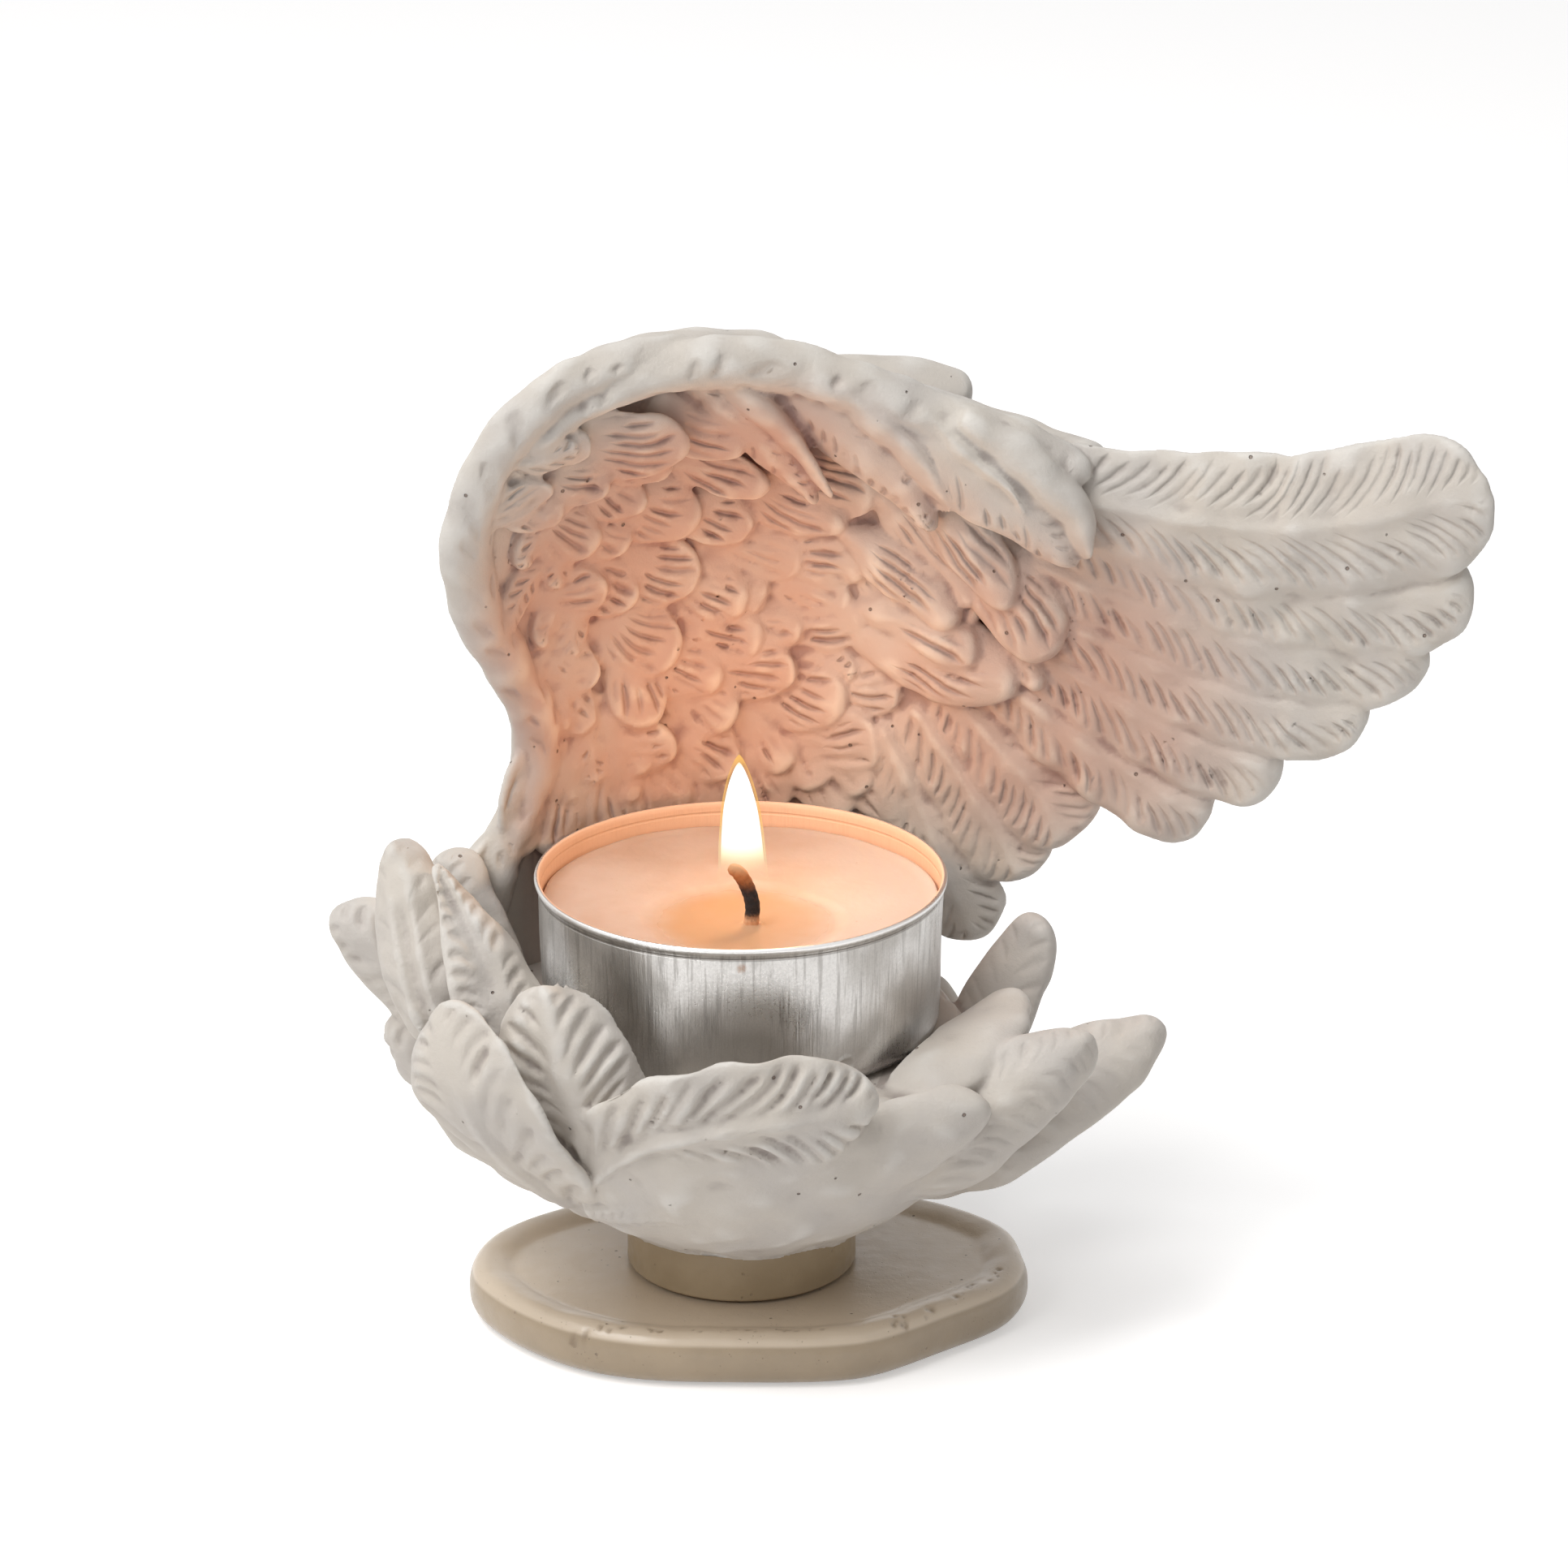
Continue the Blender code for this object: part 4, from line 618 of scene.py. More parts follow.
# Primaries: points (x, z), width
primaries = [
    ([(27.0, 77.0), (38.0, 75.2), (48.0, 74.8), (58.0, 77.0), (67.3, 81.0)], 13.0),
    ([(27.0, 73.5), (38.0, 70.2), (48.0, 68.6), (58.0, 68.9), (66.3, 71.6)], 10.6),
    ([(26.0, 69.5), (36.0, 66.0), (46.0, 63.4), (55.0, 63.1), (62.6, 65.2)], 10.2),
    ([(25.0, 65.5), (34.0, 61.6), (43.0, 58.4), (51.0, 57.2), (57.6, 58.6)], 10.0),
    ([(24.0, 61.5), (32.0, 57.4), (39.0, 54.0), (45.0, 51.8), (50.2, 50.9)], 9.4),
    ([(22.5, 58.0), (29.0, 53.4), (35.0, 49.6), (40.0, 46.8), (44.0, 45.4)], 9.0),
    ([(19.0, 55.0), (24.0, 50.0), (28.0, 45.6), (31.4, 41.0)], 9.4),
    ([(16.0, 53.0), (20.6, 47.0), (24.0, 41.6), (27.0, 36.4)], 8.8),
    ([(13.0, 51.0), (17.0, 43.0), (20.0, 36.0), (22.6, 29.6)], 8.4),
]


def wingFeathers():
    for i, (tipX, tipZ, way, length, width, lift) in enumerate(coverts):
        slim = width < 3.5
        length = length * (1.15 if slim else 1.3)
        lift = 0.72 * lift + 0.16 * max(0.0, tipZ - 70)
        turn = math.radians(way)
        root = (tipX - length * math.cos(turn), tipZ - length * math.sin(turn))
        bent = turn + 0.14
        middle = (tipX - 0.5 * length * math.cos(bent), tipZ - 0.5 * length * math.sin(bent))
        wingFeather([root, middle, (tipX, tipZ)], width * 1.26, [-0.2, 0.45 * lift, 0.85 * lift, lift],
                    thick=1.1, root=0.7, tipAt=0.5, dome=0.12, cup=-0.15, ridge=0.1, lip=0.18, crisp=5.0,
                    style="barbs" if slim else "fan", depth=0.6, pitch=1.35, seed=i, longer=0.4)
    for i, (line, width, lift) in enumerate(middleFeathers):
        wingFeather(line, width * 1.1, [0.6, 0.7 * lift, 0.95 * lift, lift], thick=1.6, root=0.5, tipAt=0.5,
                    dome=0.4, cup=-0.5, ridge=0.2, lip=0.15, crisp=4.0, style="fan", depth=0.7, pitch=1.5,
                    seed=60 + i, tilt=0.1, longer=0.5)
    for i, (line, width) in enumerate(primaries):
        lift = 2.3 - 0.2 * i
        wingFeather(line, width * 1.04, [lift - 0.3, lift - 0.2, lift], thick=2.0, root=0.66, tipAt=0.84,
                    dome=0.25, ridge=0.42, cup=-0.3, depth=0.6, pitch=1.5, seed=80 + i, wave=0.22, tilt=0.24,
                    longer=0.5, ink=0.7)
    # Long plain feathers on the wing's back
    for row in range(4):
        for i in range(5):
            x = -14 + 9.0 * i + 3 * (row % 2)
            z = 79 - 10.5 * row - 1.3 * i
            if (x > 24 and z < 56) or (i == 0 and row == 0):
                continue
            wingFeather([(x - 5, z + 4), (x, z), (x + 6, z - 7)], 9.5, [0.1, 0.8, 1.1], back=True,
                        thick=1.8, ridge=0.3, depth=0.5, pitch=1.9, seed=100 + 5 * row + i)


def bowlBody():
    profile = [(0, 10.0), (5, 10.0), (11.6, 10.0), (12.8, 10.4), (14.3, 11.2), (16.6, 12.6), (19.0, 14.4),
               (21.2, 16.8), (23.2, 19.6), (24.6, 22.6), (25.3, 25.0), (25.2, 27.0), (24.6, 28.3),
               (23.8, 28.7), (22.8, 28.6), (21.6, 28.4), (20.6, 28.4), (10, 28.4), (0, 28.4)]
    points, faces = lathe(curveThrough(profile, np.linspace(0, 1, 160))[0], 260)
    radius, turn = polar(points)
    # The rim dips at the back right, where the wing's feathers cross it
    low = np.clip(np.cos(turn - math.radians(35)), 0, 1) ** 1.5
    share = np.clip((radius - 20.4) / 4, 0, 1) * np.clip((points[:, 2] - 18) / 10, 0, 1)
    points[:, 2] -= 6.0 * low * share
    addSolid(points, faces)
    addPlain(points)


# Bowl feathers: points (x, y, z), width, thickness, face, and what else differs from the plain blade
petals = [
    # The folded leaf at the front left, its two halves
    ([(-15.0, -12.0, 15.6), (-21.2, -17.8, 23.6), (-24.8, -19.2, 30.6), (-26.8, -16.0, 36.8)], 17.0, 1.8,
     [(-0.5, -0.8, -0.35), (-0.55, -0.8, -0.1), (-0.45, -0.85, 0.15)],
     dict(tipAt=0.5, curl=(-2.0, 1.2), dome=0.5, depth=0.8, quill=0.3, longer=0.6, pitch=2.5)),
    ([(-9.0, -14.0, 16.0), (-13.4, -20.0, 24.6), (-15.8, -21.4, 32.0), (-17.6, -20.0, 40.0)], 13.4, 1.8,
     [(-0.2, -0.9, -0.4), (-0.12, -0.97, -0.05), (0.0, -0.95, 0.15)],
     dict(root=0.45, tipAt=0.6, curl=(-2.6, -2.2), valley=(-0.3, 1.0), dome=0.7, depth=0.85, pitch=2.2)),
    # The broad front feather, which sinks into the bowl below
    ([(-14.0, -17.4, 20.2), (-8.4, -23.4, 26.6), (-1.4, -25.7, 29.0), (5.8, -25.4, 29.8),
      (12.2, -23.2, 30.4)], 13.0, 1.8, [(-0.3, -0.85, -0.4), (0, -0.97, -0.2), (0.15, -0.97, 0.1)],
     dict(tipAt=0.7, curl=(0.2, -2.0), dome=0.4, depth=1.15, wave=0.3, quill=0.6, pitch=2.1)),
    # The smooth lobe, the two arms and the finger at the right
    ([(3, -14.4, 14.2), (10.5, -19.4, 21.6), (16.4, -19.6, 25.6), (22.6, -17.6, 27.4)], 10.0, 2.4,
     [(0.3, -0.85, -0.4), (0.3, -0.9, 0.25)], dict(tipAt=0.5, curl=(0.0, -2.0), dome=0.6)),
    ([(9, -12, 13.6), (18.2, -15.2, 22.0), (25.8, -13.6, 28.2), (32.4, -10.6, 31.0)], 9.6, 2.6,
     [(0.4, -0.7, -0.5), (0.2, -0.75, 0.5), (0.1, -0.7, 0.7)],
     dict(tipAt=0.5, curl=(-0.4, -1.6), dome=0.6, depth=0.38, pitch=1.7, longer=0.4)),
    ([(9, -6, 12.4), (20, -6.6, 18.6), (30, -4.4, 24.2), (39.4, -0.4, 28.0)], 10.4, 2.8,
     [(0.3, -0.6, -0.6), (-0.1, -0.75, 0.55), (-0.1, -0.7, 0.7)],
     dict(tipAt=0.5, cup=-0.8, dome=0.5, depth=0.22, pitch=1.9, longer=0.4)),
    ([(17.5, 3, 19), (23, 6, 25), (26.6, 9, 30.6), (28.4, 10.6, 35.0)], 7.8, 3.0,
     [(-0.4, -0.85, 0.2), (-0.5, -0.8, 0.1)], dict(tipAt=0.5, cup=0.5, dome=0.3, depth=0.15)),
    ([(11, -17.5, 24.6), (17.5, -14.0, 28.6), (22.6, -8.0, 30.6), (25.2, -0.5, 30.8)], 8.0, 2.4,
     [(-0.1, -0.6, 0.75), (-0.35, -0.3, 0.85)], dict(tipAt=0.5, cup=0.2, dome=0.3)),
    # The tall leaf at the left with its fold, and the broad pointed face beside it
    ([(-24, -8.6, 26), (-28.2, -8.4, 34.0), (-30.0, -5.4, 40.6), (-31.6, -1.6, 47.2)], 8.6, 2.6,
     [(-0.4, -0.9, 0), (-0.15, -0.95, 0.2)],
     dict(tipAt=0.5, curl=(-1.0, -1.0), dome=0.9, depth=0.28, quill=-0.5, longer=0.3)),
    ([(-18.0, -14.0, 25.5), (-21.0, -13.2, 33.4), (-24.0, -9.8, 40.0), (-27.6, -5.6, 46.0)], 11.0, 1.8,
     [(0.25, -0.95, 0.1), (0.3, -0.93, 0.15)],
     dict(root=0.75, tipAt=0.2, point=0.6, curl=(0.8, -1.6), valley=(-0.1, 0.7), dome=0.6, depth=0.6,
          pitch=1.8, longer=0.4)),
    ([(-18, -3, 20), (-25, -3.0, 27.6), (-31, 0.0, 33.6), (-38.0, 2.8, 38.6)], 11.5, 2.2,
     [(-0.6, -0.7, -0.2), (-0.3, -0.95, 0.1)], dict(tipAt=0.45, cup=-1.1, dome=0.5, depth=0.6, longer=0.5)),
    ([(-14, -2, 13), (-23.4, -1.6, 18.4), (-29.0, 0.2, 23.2), (-32.6, 2, 28.2)], 9.0, 2.6,
     [(-0.6, -0.7, -0.4), (-0.75, -0.65, -0.1)], dict(tipAt=0.5, cup=-0.8, dome=0.5, depth=0.6)),
    ([(-20, 6, 24), (-24.6, 6.4, 32), (-26.6, 7.4, 38), (-26.6, 8.4, 42.5)], 9.0, 3.6,
     [(-0.6, -0.8, 0), (-0.5, -0.85, 0)], dict(tipAt=0.5, cup=-0.4, dome=0.5, depth=0.3)),
    # Low quills carved into the bowl
    ([(3.4, -19.4, 17.6), (9.6, -20.6, 21.4), (15.4, -19.4, 23.2), (21.2, -16.4, 24.4)], 4.2, 1.6,
     [(0.3, -0.85, -0.4), (0.3, -0.9, -0.2)], dict(tipAt=0.6, dome=0.2, depth=0.6, pitch=1.2)),
    ([(-14.0, -16.6, 16.6), (-9.0, -19.4, 17.6), (-3.6, -20.8, 17.8)], 3.4, 1.4,
     [(-0.3, -0.8, -0.6), (-0.1, -0.8, -0.6)], dict(tipAt=0.6, dome=0.1, depth=0.6, pitch=1.1)),
]


# What all the bowl's feathers share, unless the list above says otherwise
petalShape = dict(crisp=4.0, pitch=2.2, groove=0.25, ink=0.3, longer=0.7)


def bowlFeathers():
    for i, (spine, width, thick, face, shape) in enumerate(petals):
        blade(spine, width, thick, face, **{**petalShape, "seed": 120 + i, **shape})
    # Feathers round the back of the bowl, which the wing hides from the front
    for i in range(6):
        turn = math.radians(48 + 24 * i)
        way = np.array([math.cos(turn), math.sin(turn), 0.0])
        spine = [way * 13 + (0, 0, 12.6), way * 22 + (0, 0, 17.0), way * 27.4 + (0, 0, 23.0)]
        spine.append(way * 28.6 + (0, 0, 24.0 if i < 2 else 30.0))
        blade(spine, 13.0, 2.8, [way + (0, 0, -0.7), way], cup=-0.8, dome=0.6, ridge=0.3, depth=0.5,
              pitch=2.0, seed=140 + i)


def seat(points):
    # Clears the tealight's place and makes the floor and the foot flat
    radius = polar(points)[0]
    wanted = cupRadius + castingSettings["seatMargin"]
    inside = (points[:, 2] > castFloor - 0.5) & (points[:, 2] < cupHigh[2] + 2.5) & (radius < wanted)
    onFloor = inside & (points[:, 2] < castFloor + 0.6)
    points[onFloor, 2] = castFloor
    push = inside & ~onFloor
    points[push, :2] *= (wanted / np.maximum(radius[push], 0.01))[:, None]
    foot = points[:, 2] < castFoot + 0.35
    points[foot, 2] = castFoot
    return points


def meshEdges(faces):
    return np.concatenate([faces[:, [0, 1]], faces[:, [1, 2]], faces[:, [2, 0]]])


def vertexNormals(points, faces):
    corners = points[faces]
    normal = np.cross(corners[:, 1] - corners[:, 0], corners[:, 2] - corners[:, 0])
    made = np.zeros_like(points)
    for k in range(3):
        for axis in range(3):
            made[:, axis] += np.bincount(faces[:, k], normal[:, axis], len(points))
    return made / np.maximum(np.linalg.norm(made, axis=1), 1e-9)[:, None]


def relaxed(values, faces, rounds):
    # Each vertex's values averaged with its neighbours', as many times as asked
    pairs = meshEdges(faces)
    count = np.bincount(pairs.ravel(), minlength=len(values))
    for i in range(rounds):
        fresh = np.zeros_like(values)
        for axis in range(values.shape[1]):
            fresh[:, axis] = np.bincount(pairs[:, 0], values[pairs[:, 1], axis], len(values))
            fresh[:, axis] += np.bincount(pairs[:, 1], values[pairs[:, 0], axis], len(values))
        values = 0.3 * values + 0.7 * fresh / np.maximum(count, 1)[:, None]
    return values


def carvingAt(points, faces):
    # The stroke coordinates at each vertex, read from the nearest feather
    samples = np.vstack(featherSamples)
    cuts = np.array(featherCuts, float)
    tree = KDTree(len(samples))
    for i, place in enumerate(samples[:, :3].tolist()):
        tree.insert(place, i)
    tree.balance()
    nearest = np.array([tree.find(place)[1] for place in points.tolist()])
    found = samples[nearest]
    offset = points - found[:, :3]
    along = found[:, 9] + (offset * found[:, 3:6]).sum(axis=1)
    across = found[:, 10] + (offset * found[:, 6:9]).sum(axis=1)
    owner = found[:, 12].astype(int)
    pairs = meshEdges(faces)
    split = owner[pairs[:, 0]] != owner[pairs[:, 1]]
    plain = np.zeros(len(points))
    plain[pairs[split].ravel()] = 1.0
    own = cuts[np.maximum(owner, 0)]
    edge = np.abs(across) / np.maximum(found[:, 11], 0.05)
    phase, reach, fade = strokePlaces(along, across, edge, own[:, 0], own[:, 1] > 0.5, own[:, 2], own[:, 3])
    kept = smooth(1 - 2.5 * relaxed(plain[:, None], faces, 1)[:, 0])
    return np.column_stack([phase, reach, fade * own[:, 4] * (owner >= 0) * kept, own[:, 5]])


def unevenness(points):
    # Low swells from many crossing waves, in millimetres, so that no face is quite smooth
    draw = np.random.default_rng(5)
    total = np.zeros(len(points))
    bent = points + 0.6 * np.sin(points[:, [1, 2, 0]] * 0.7)
    for i in range(26):
        way = draw.normal(size=3)
        span = draw.uniform(2.4, 8.0)
        turn = bent @ (way / np.linalg.norm(way)) * 2 * np.pi / span + draw.uniform(0, 6.28)
        total += castingSettings["swell"] * span * np.sin(turn)
    return total


def addReading(made, name, values):
    layer = made.data.attributes.new(name, "FLOAT", "POINT")
    layer.data.foreach_set("value", np.asarray(values, np.float32))


def castPiece(name, look):
    # Joins the feathers and the body made so far into one carved piece, and adds what its look reads
    offsets = np.cumsum([0] + [len(points) for points, _ in solids])
    points = np.vstack([points for points, _ in solids])
    faces = np.vstack([faces + offset for (_, faces), offset in zip(solids, offsets)])
    remesh = {"mode": "VOXEL", "voxel_size": castingSettings["voxel"] * 0.001}
    points, faces = largestBody(*modified(points, faces, ("REMESH", remesh)))
    points = seat(points)
    print("voxels", len(faces))
    share = min(1.0, castingSettings["triangles"] / len(faces))
    points, faces = modified(points, faces, ("SMOOTH", {"factor": 0.5, "iterations": 1}),
                             ("DECIMATE", {"ratio": share}))
    normals = vertexNormals(points, faces)
    points = seat(points + normals * unevenness(points)[:, None])
    points = np.clip(points, castingLow, castingHigh)
    made = addPiece(name, points, faces, look, "casting_resin", "winged_bowl")
    # How far each place lies below its close and its wide surroundings
    for key, reach, rounds in (("hollow", 4, 1), ("valley", 22, 2)):
        below = ((relaxed(points, faces, reach) - points) * normals).sum(axis=1)
        addReading(made, key, relaxed(below[:, None], faces, rounds)[:, 0])
    keys = ("strokePhase", "strokeReach", "strokeFade", "strokeLonger")
    for key, values in zip(keys, carvingAt(points, faces).T):
        addReading(made, key, values)
    addReading(made, "blush", blushAt(points))
    solids.clear()
    featherSamples.clear()
    featherCuts.clear()


def patchAt(x, z, centre, size, start, fade):
    # 1 inside an oval of the given centre and size, falling to 0 outside it
    away = np.hypot((x - centre[0]) / size[0], (z - centre[1]) / size[1])
    return 1 - smooth((away - start) / fade)


def blushAt(points):
    # How pink the wash is: strongest inside the cupped wing, fading at the rim and along the primaries. The
    # inner patch also fades to the right: partly a paler wash, partly painted light for the flame's glow on
    # the middle
    x, y, z = points.T
    inner = patchAt(x, z, (1.0, 62.0), (27.0, 27.0), 0.72, 0.34) * (1 - 0.4 * smooth((x - 2.0) / 12.0))
    roots = 0.8 * patchAt(x, z, (27.0, 56.0), (24.0, 22.0), 0.35, 0.7)
    stem = 0.7 * patchAt(x, z, (-16.0, 44.0), (8.0, 12.0), 0.3, 0.7)
    front = smooth((wingDepth(x, z) + 1.2 - y) / 1.2) * smooth((z - 33.0) / 6.0) * smooth((y + 7.0) / 5.0)
    return np.maximum(np.maximum(inner, roots), stem) * front


castingColours = {
    "resin": (0.59, 0.54, 0.48),
    "resinCool": (0.55, 0.51, 0.47),
    # The shade colours are painted shade for hollows and carved strokes; the edge colours are painted
    # highlights for raised places
    "shade": (0.31, 0.265, 0.24),
    "blush": (0.56, 0.335, 0.255),
    "blushShade": (0.29, 0.135, 0.11),
    "edge": (0.70, 0.67, 0.625),
    "blushHighlight": (0.74, 0.54, 0.42),
    "speck": (0.16, 0.10, 0.07),
}


strokeInputs = ("Phase", "Reach", "Fade", "Longer", "Half Width")


def strokeGroup():
    # The strokes of strokeCut once more, for the bump and the painted shade in them
    tree, looks, given, out = newGroup("carved strokes", [(name, "Float") for name in strokeInputs], "Groove")
    phase, reach, fade, longer, halfWidth = [given[name] for name in strokeInputs]
    index = looks.math("FLOOR", phase)

    def randomFor(value):
        wave = looks.math("ABSOLUTE", looks.math("SINE", looks.times(value, rule["randomTurn"])))
        return looks.math("FRACT", looks.times(wave, rule["randomScale"]))

    pick = randomFor(index)
    other = randomFor(looks.plus(index, rule["otherSeed"]))
    kept = looks.remap(randomFor(looks.plus(index, rule["keptSeed"])), rule["missing"],
                       rule["missing"] + rule["missingFade"], smoothly=False)
    lessLate = looks.less(1.0, looks.times(longer, rule["startEven"]))
    lessEarly = looks.less(1.0, looks.times(longer, rule["stopEven"]))
    start = looks.plus(looks.times(looks.times(pick, rule["startSpread"]), lessLate), rule["start"])
    stop = looks.less(rule["stop"], looks.times(looks.times(other, rule["stopSpread"]), lessEarly))
    began = looks.remap(looks.less(reach, start), 0.0, rule["taper"])
    mask = looks.times(began, looks.remap(looks.less(stop, reach), 0.0, rule["taper"]))
    shake = looks.times(looks.less(looks.noise(looks.place(), 0.5, 1.0), 0.5), rule["shake"])
    middle = looks.plus(looks.times(other, rule["sideStep"]), rule["middle"])
    off = looks.plus(looks.less(looks.less(phase, index), middle), shake)
    slim = looks.plus(looks.times(mask, 1 - rule["endWidth"]), rule["endWidth"])
    off = looks.math("DIVIDE", off, looks.times(slim, halfWidth))
    near = looks.math("EXPONENT", looks.times(looks.times(off, off), -1.0))
    strength = looks.plus(looks.times(pick, 1 - rule["weakest"]), rule["weakest"])
    rest = looks.times(looks.less(1.0, strength), looks.times(longer, 0.5))
    strength = looks.times(looks.plus(strength, rest), looks.math("MAXIMUM", kept, longer))
    cut = looks.times(looks.times(near, mask), strength)
    looks.put(out, looks.times(cut, fade))
    return tree


def castingLook():
    look, looks, shader = newLook("tintedResin", {"Specular IOR Level": 0.35})
    where = looks.place()
    readings = [looks.read(name) for name in ("strokePhase", "strokeReach", "strokeFade", "strokeLonger")]
    groove = looks.group(strokeGroup(), dict(zip(strokeInputs, readings + [strokeSettings["inkWidth"]])))
    hollow = looks.read("hollow")
    cloud = looks.noise(where, 0.12, 3.0)
    # Painted shade in what is deep, and a painted highlight on the raised places
    deep = looks.plus(looks.remap(hollow, 0.015, 0.12),
                      looks.remap(looks.read("valley"), 0.1, 0.8, 0.0, 0.7), clamp=True)
    high = looks.remap(looks.times(hollow, -1.0), 0.02, 0.11)
    blush = looks.times(looks.read("blush"), looks.remap(cloud, 0.25, 0.6, 0.75, 1.0), clamp=True)
    resin = looks.mix(looks.remap(cloud, 0.35, 0.7), castingColours["resin"], castingColours["resinCool"])
    base = looks.mix(blush, resin, castingColours["blush"])
    shade = looks.mix(blush, castingColours["shade"], castingColours["blushShade"])
    edge = looks.mix(blush, castingColours["edge"], castingColours["blushHighlight"])
    colour = looks.mix(looks.times(deep, 0.8), base, shade)
    # Painted shade in the carved strokes
    colour = looks.mix(looks.times(groove, looks.remap(blush, 0.0, 0.6, 0.4, 0.7)), colour, shade)
    colour = looks.mix(looks.times(high, 0.65), colour, edge)
    speck = specks(looks, where, 0.42, 0.085, 0.05, 0.3, 0.52, 0.56)
    colour = looks.mix(looks.times(speck, 0.75), colour, castingColours["speck"])
    rough = looks.remap(looks.noise(where, 1.5, 2.0), 0.3, 0.7, 0.52, 0.66)
    grain = looks.times(looks.noise(where, 2.6, 3.0, 0.6), 0.05)
    height = looks.plus(grain, looks.times(looks.noise(where, 9.0, 2.0, 0.6), 0.012))
    height = looks.less(height, looks.times(groove, 0.28))
    height = looks.less(height, looks.times(speck, 0.3))
    looks.fill(shader, {"Base Color": colour, "Roughness": rough, "Normal": looks.relief(height)})
    return look


resinLook = castingLook()
print("casting: wing")
wingShell()
wingEdges()
wingFeathers()
castPiece("carvedWing", resinLook)
print("casting: bowl")
bowlBody()
bowlFeathers()
castPiece("carvedBowl", resinLook)


# Base plate: a pebble-shaped slab with a soft lip and little pits
plateSettings = {
    "lipDrop": 0.7,          # how far the face lies below the lip
    "around": 560,           # points round the outline
    "pitCount": 48,
    "lipPits": 28,           # how many of the pits lie along the front lip
    "stone": (0.40, 0.305, 0.20),
    "stoneCloud": (0.34, 0.26, 0.17),
    # a painted lighter top, standing in for the light and the backdrop's reflection falling on the face
    "paintedLitTop": (0.71, 0.59, 0.455),
    "stoneDark": (0.20, 0.135, 0.08),
    "roughness": 0.34,
    "paintedLitTopShare": 0.75,        # how much of the painted lighter top the face takes
}
pebble = [(26.8, 0.5), (25.6, 5.5), (21.5, 10.0), (15.5, 13.4), (7.0, 15.4), (-2.0, 15.6), (-11.0, 13.6),
          (-18.5, 9.8), (-23.8, 4.6), (-25.6, -1.2), (-24.6, -6.6), (-20.5, -12.4), (-15.0, -16.8),
          (-8.5, -19.0), (0.0, -19.5), (8.0, -19.3), (13.0, -17.8), (19.0, -13.2), (24.6, -8.2), (26.8, -3.4)]


def plateShape():
    loop = pebble[-3:] + pebble + pebble[:3]
    line = curveThrough(loop, np.linspace(0, 1, 4000))[0]
    start = np.argmin(np.linalg.norm(line - pebble[0], axis=1)[:2000])
    end = 2000 + np.argmin(np.linalg.norm(line - pebble[0], axis=1)[2000:])
    outline = line[np.linspace(start, end, plateSettings["around"], endpoint=False).astype(int)]
    for i in range(6):
        outline = 0.5 * outline + 0.25 * (np.roll(outline, 1, axis=0) + np.roll(outline, -1, axis=0))
    ahead = np.roll(outline, -4, axis=0) - np.roll(outline, 4, axis=0)
    inward = unit(np.stack([-ahead[:, 1], ahead[:, 0]], axis=1))
    if ((outline + inward) ** 2).sum() > (outline ** 2).sum():
        inward = -inward
    high = plateHigh[2]
    face = high - plateSettings["lipDrop"]
    profile = [(0.0, 0.0), (1.9, 0.0), (1.0, 0.2), (0.4, 0.75), (0.08, 0.3 * high), (0.0, 0.5 * high),
               (0.12, 0.72 * high), (0.6, 0.91 * high), (1.4, high), (2.3, high - 0.03),
               (3.2, high - 0.4 * (high - face)), (4.2, face + 0.03), (5.4, face)]
    fine = curveThrough(profile[1:], np.linspace(0, 1, 46))[0]
    turn = np.arange(len(outline)) * 2 * np.pi / len(outline)
    rings = []
    wobble = 0.10 * np.sin(5 * turn + 1.0) + 0.07 * np.sin(11 * turn + 2.0) + 0.05 * np.sin(23 * turn)
    for inset, height in fine:
        share = smooth((height - 0.55 * high) / (0.4 * high))
        ring = outline + inward * (inset + 0.6 * wobble * share)[:, None]
        lift = 0.5 * wobble * share * smooth((4.2 - inset) / 1.5)
        rings.append(np.column_stack([ring, np.full(len(ring), height) + lift]))
    inmost = rings[-1][:, :2]
    for shrink in np.linspace(0.95, 0.04, 14):
        rings.append(np.column_stack([inmost * shrink, np.full(len(inmost), face)]))
    under = rings[0].copy()
    lower = [np.column_stack([under[:, :2] * k, np.zeros(len(under))]) for k in (0.05, 0.5, 0.9)]
    points, faces = ringsToMesh(np.array(lower + rings))
    # Small pits along the front lip and the right edge
    draw = np.random.default_rng(11)
    pits = np.zeros(len(points))
    for i in range(plateSettings["pitCount"]):
        if i < plateSettings["lipPits"]:
            place = np.array([draw.uniform(-16, 9), -17.3 + draw.normal(0, 0.25)])
            place[1] += 0.004 * (place[0] + 2) ** 2
            size = draw.uniform(0.13, 0.27)
        else:
            part = draw.uniform(0, 1)
            across = -15.9 + 12.5 * part ** 1.3 + draw.normal(0, 0.5)
            place = np.array([13.5 + 11.5 * part, across])
            size = draw.uniform(0.14, 0.30)
        away = np.linalg.norm(points[:, :2] - place, axis=1)
        sunk = (points[:, 2] > 0.6 * high) * np.exp(-(away / size) ** 2)
        points[:, 2] -= 0.8 * size * sunk
        pits = np.maximum(pits, sunk)
    return points, outward(points, faces), pits


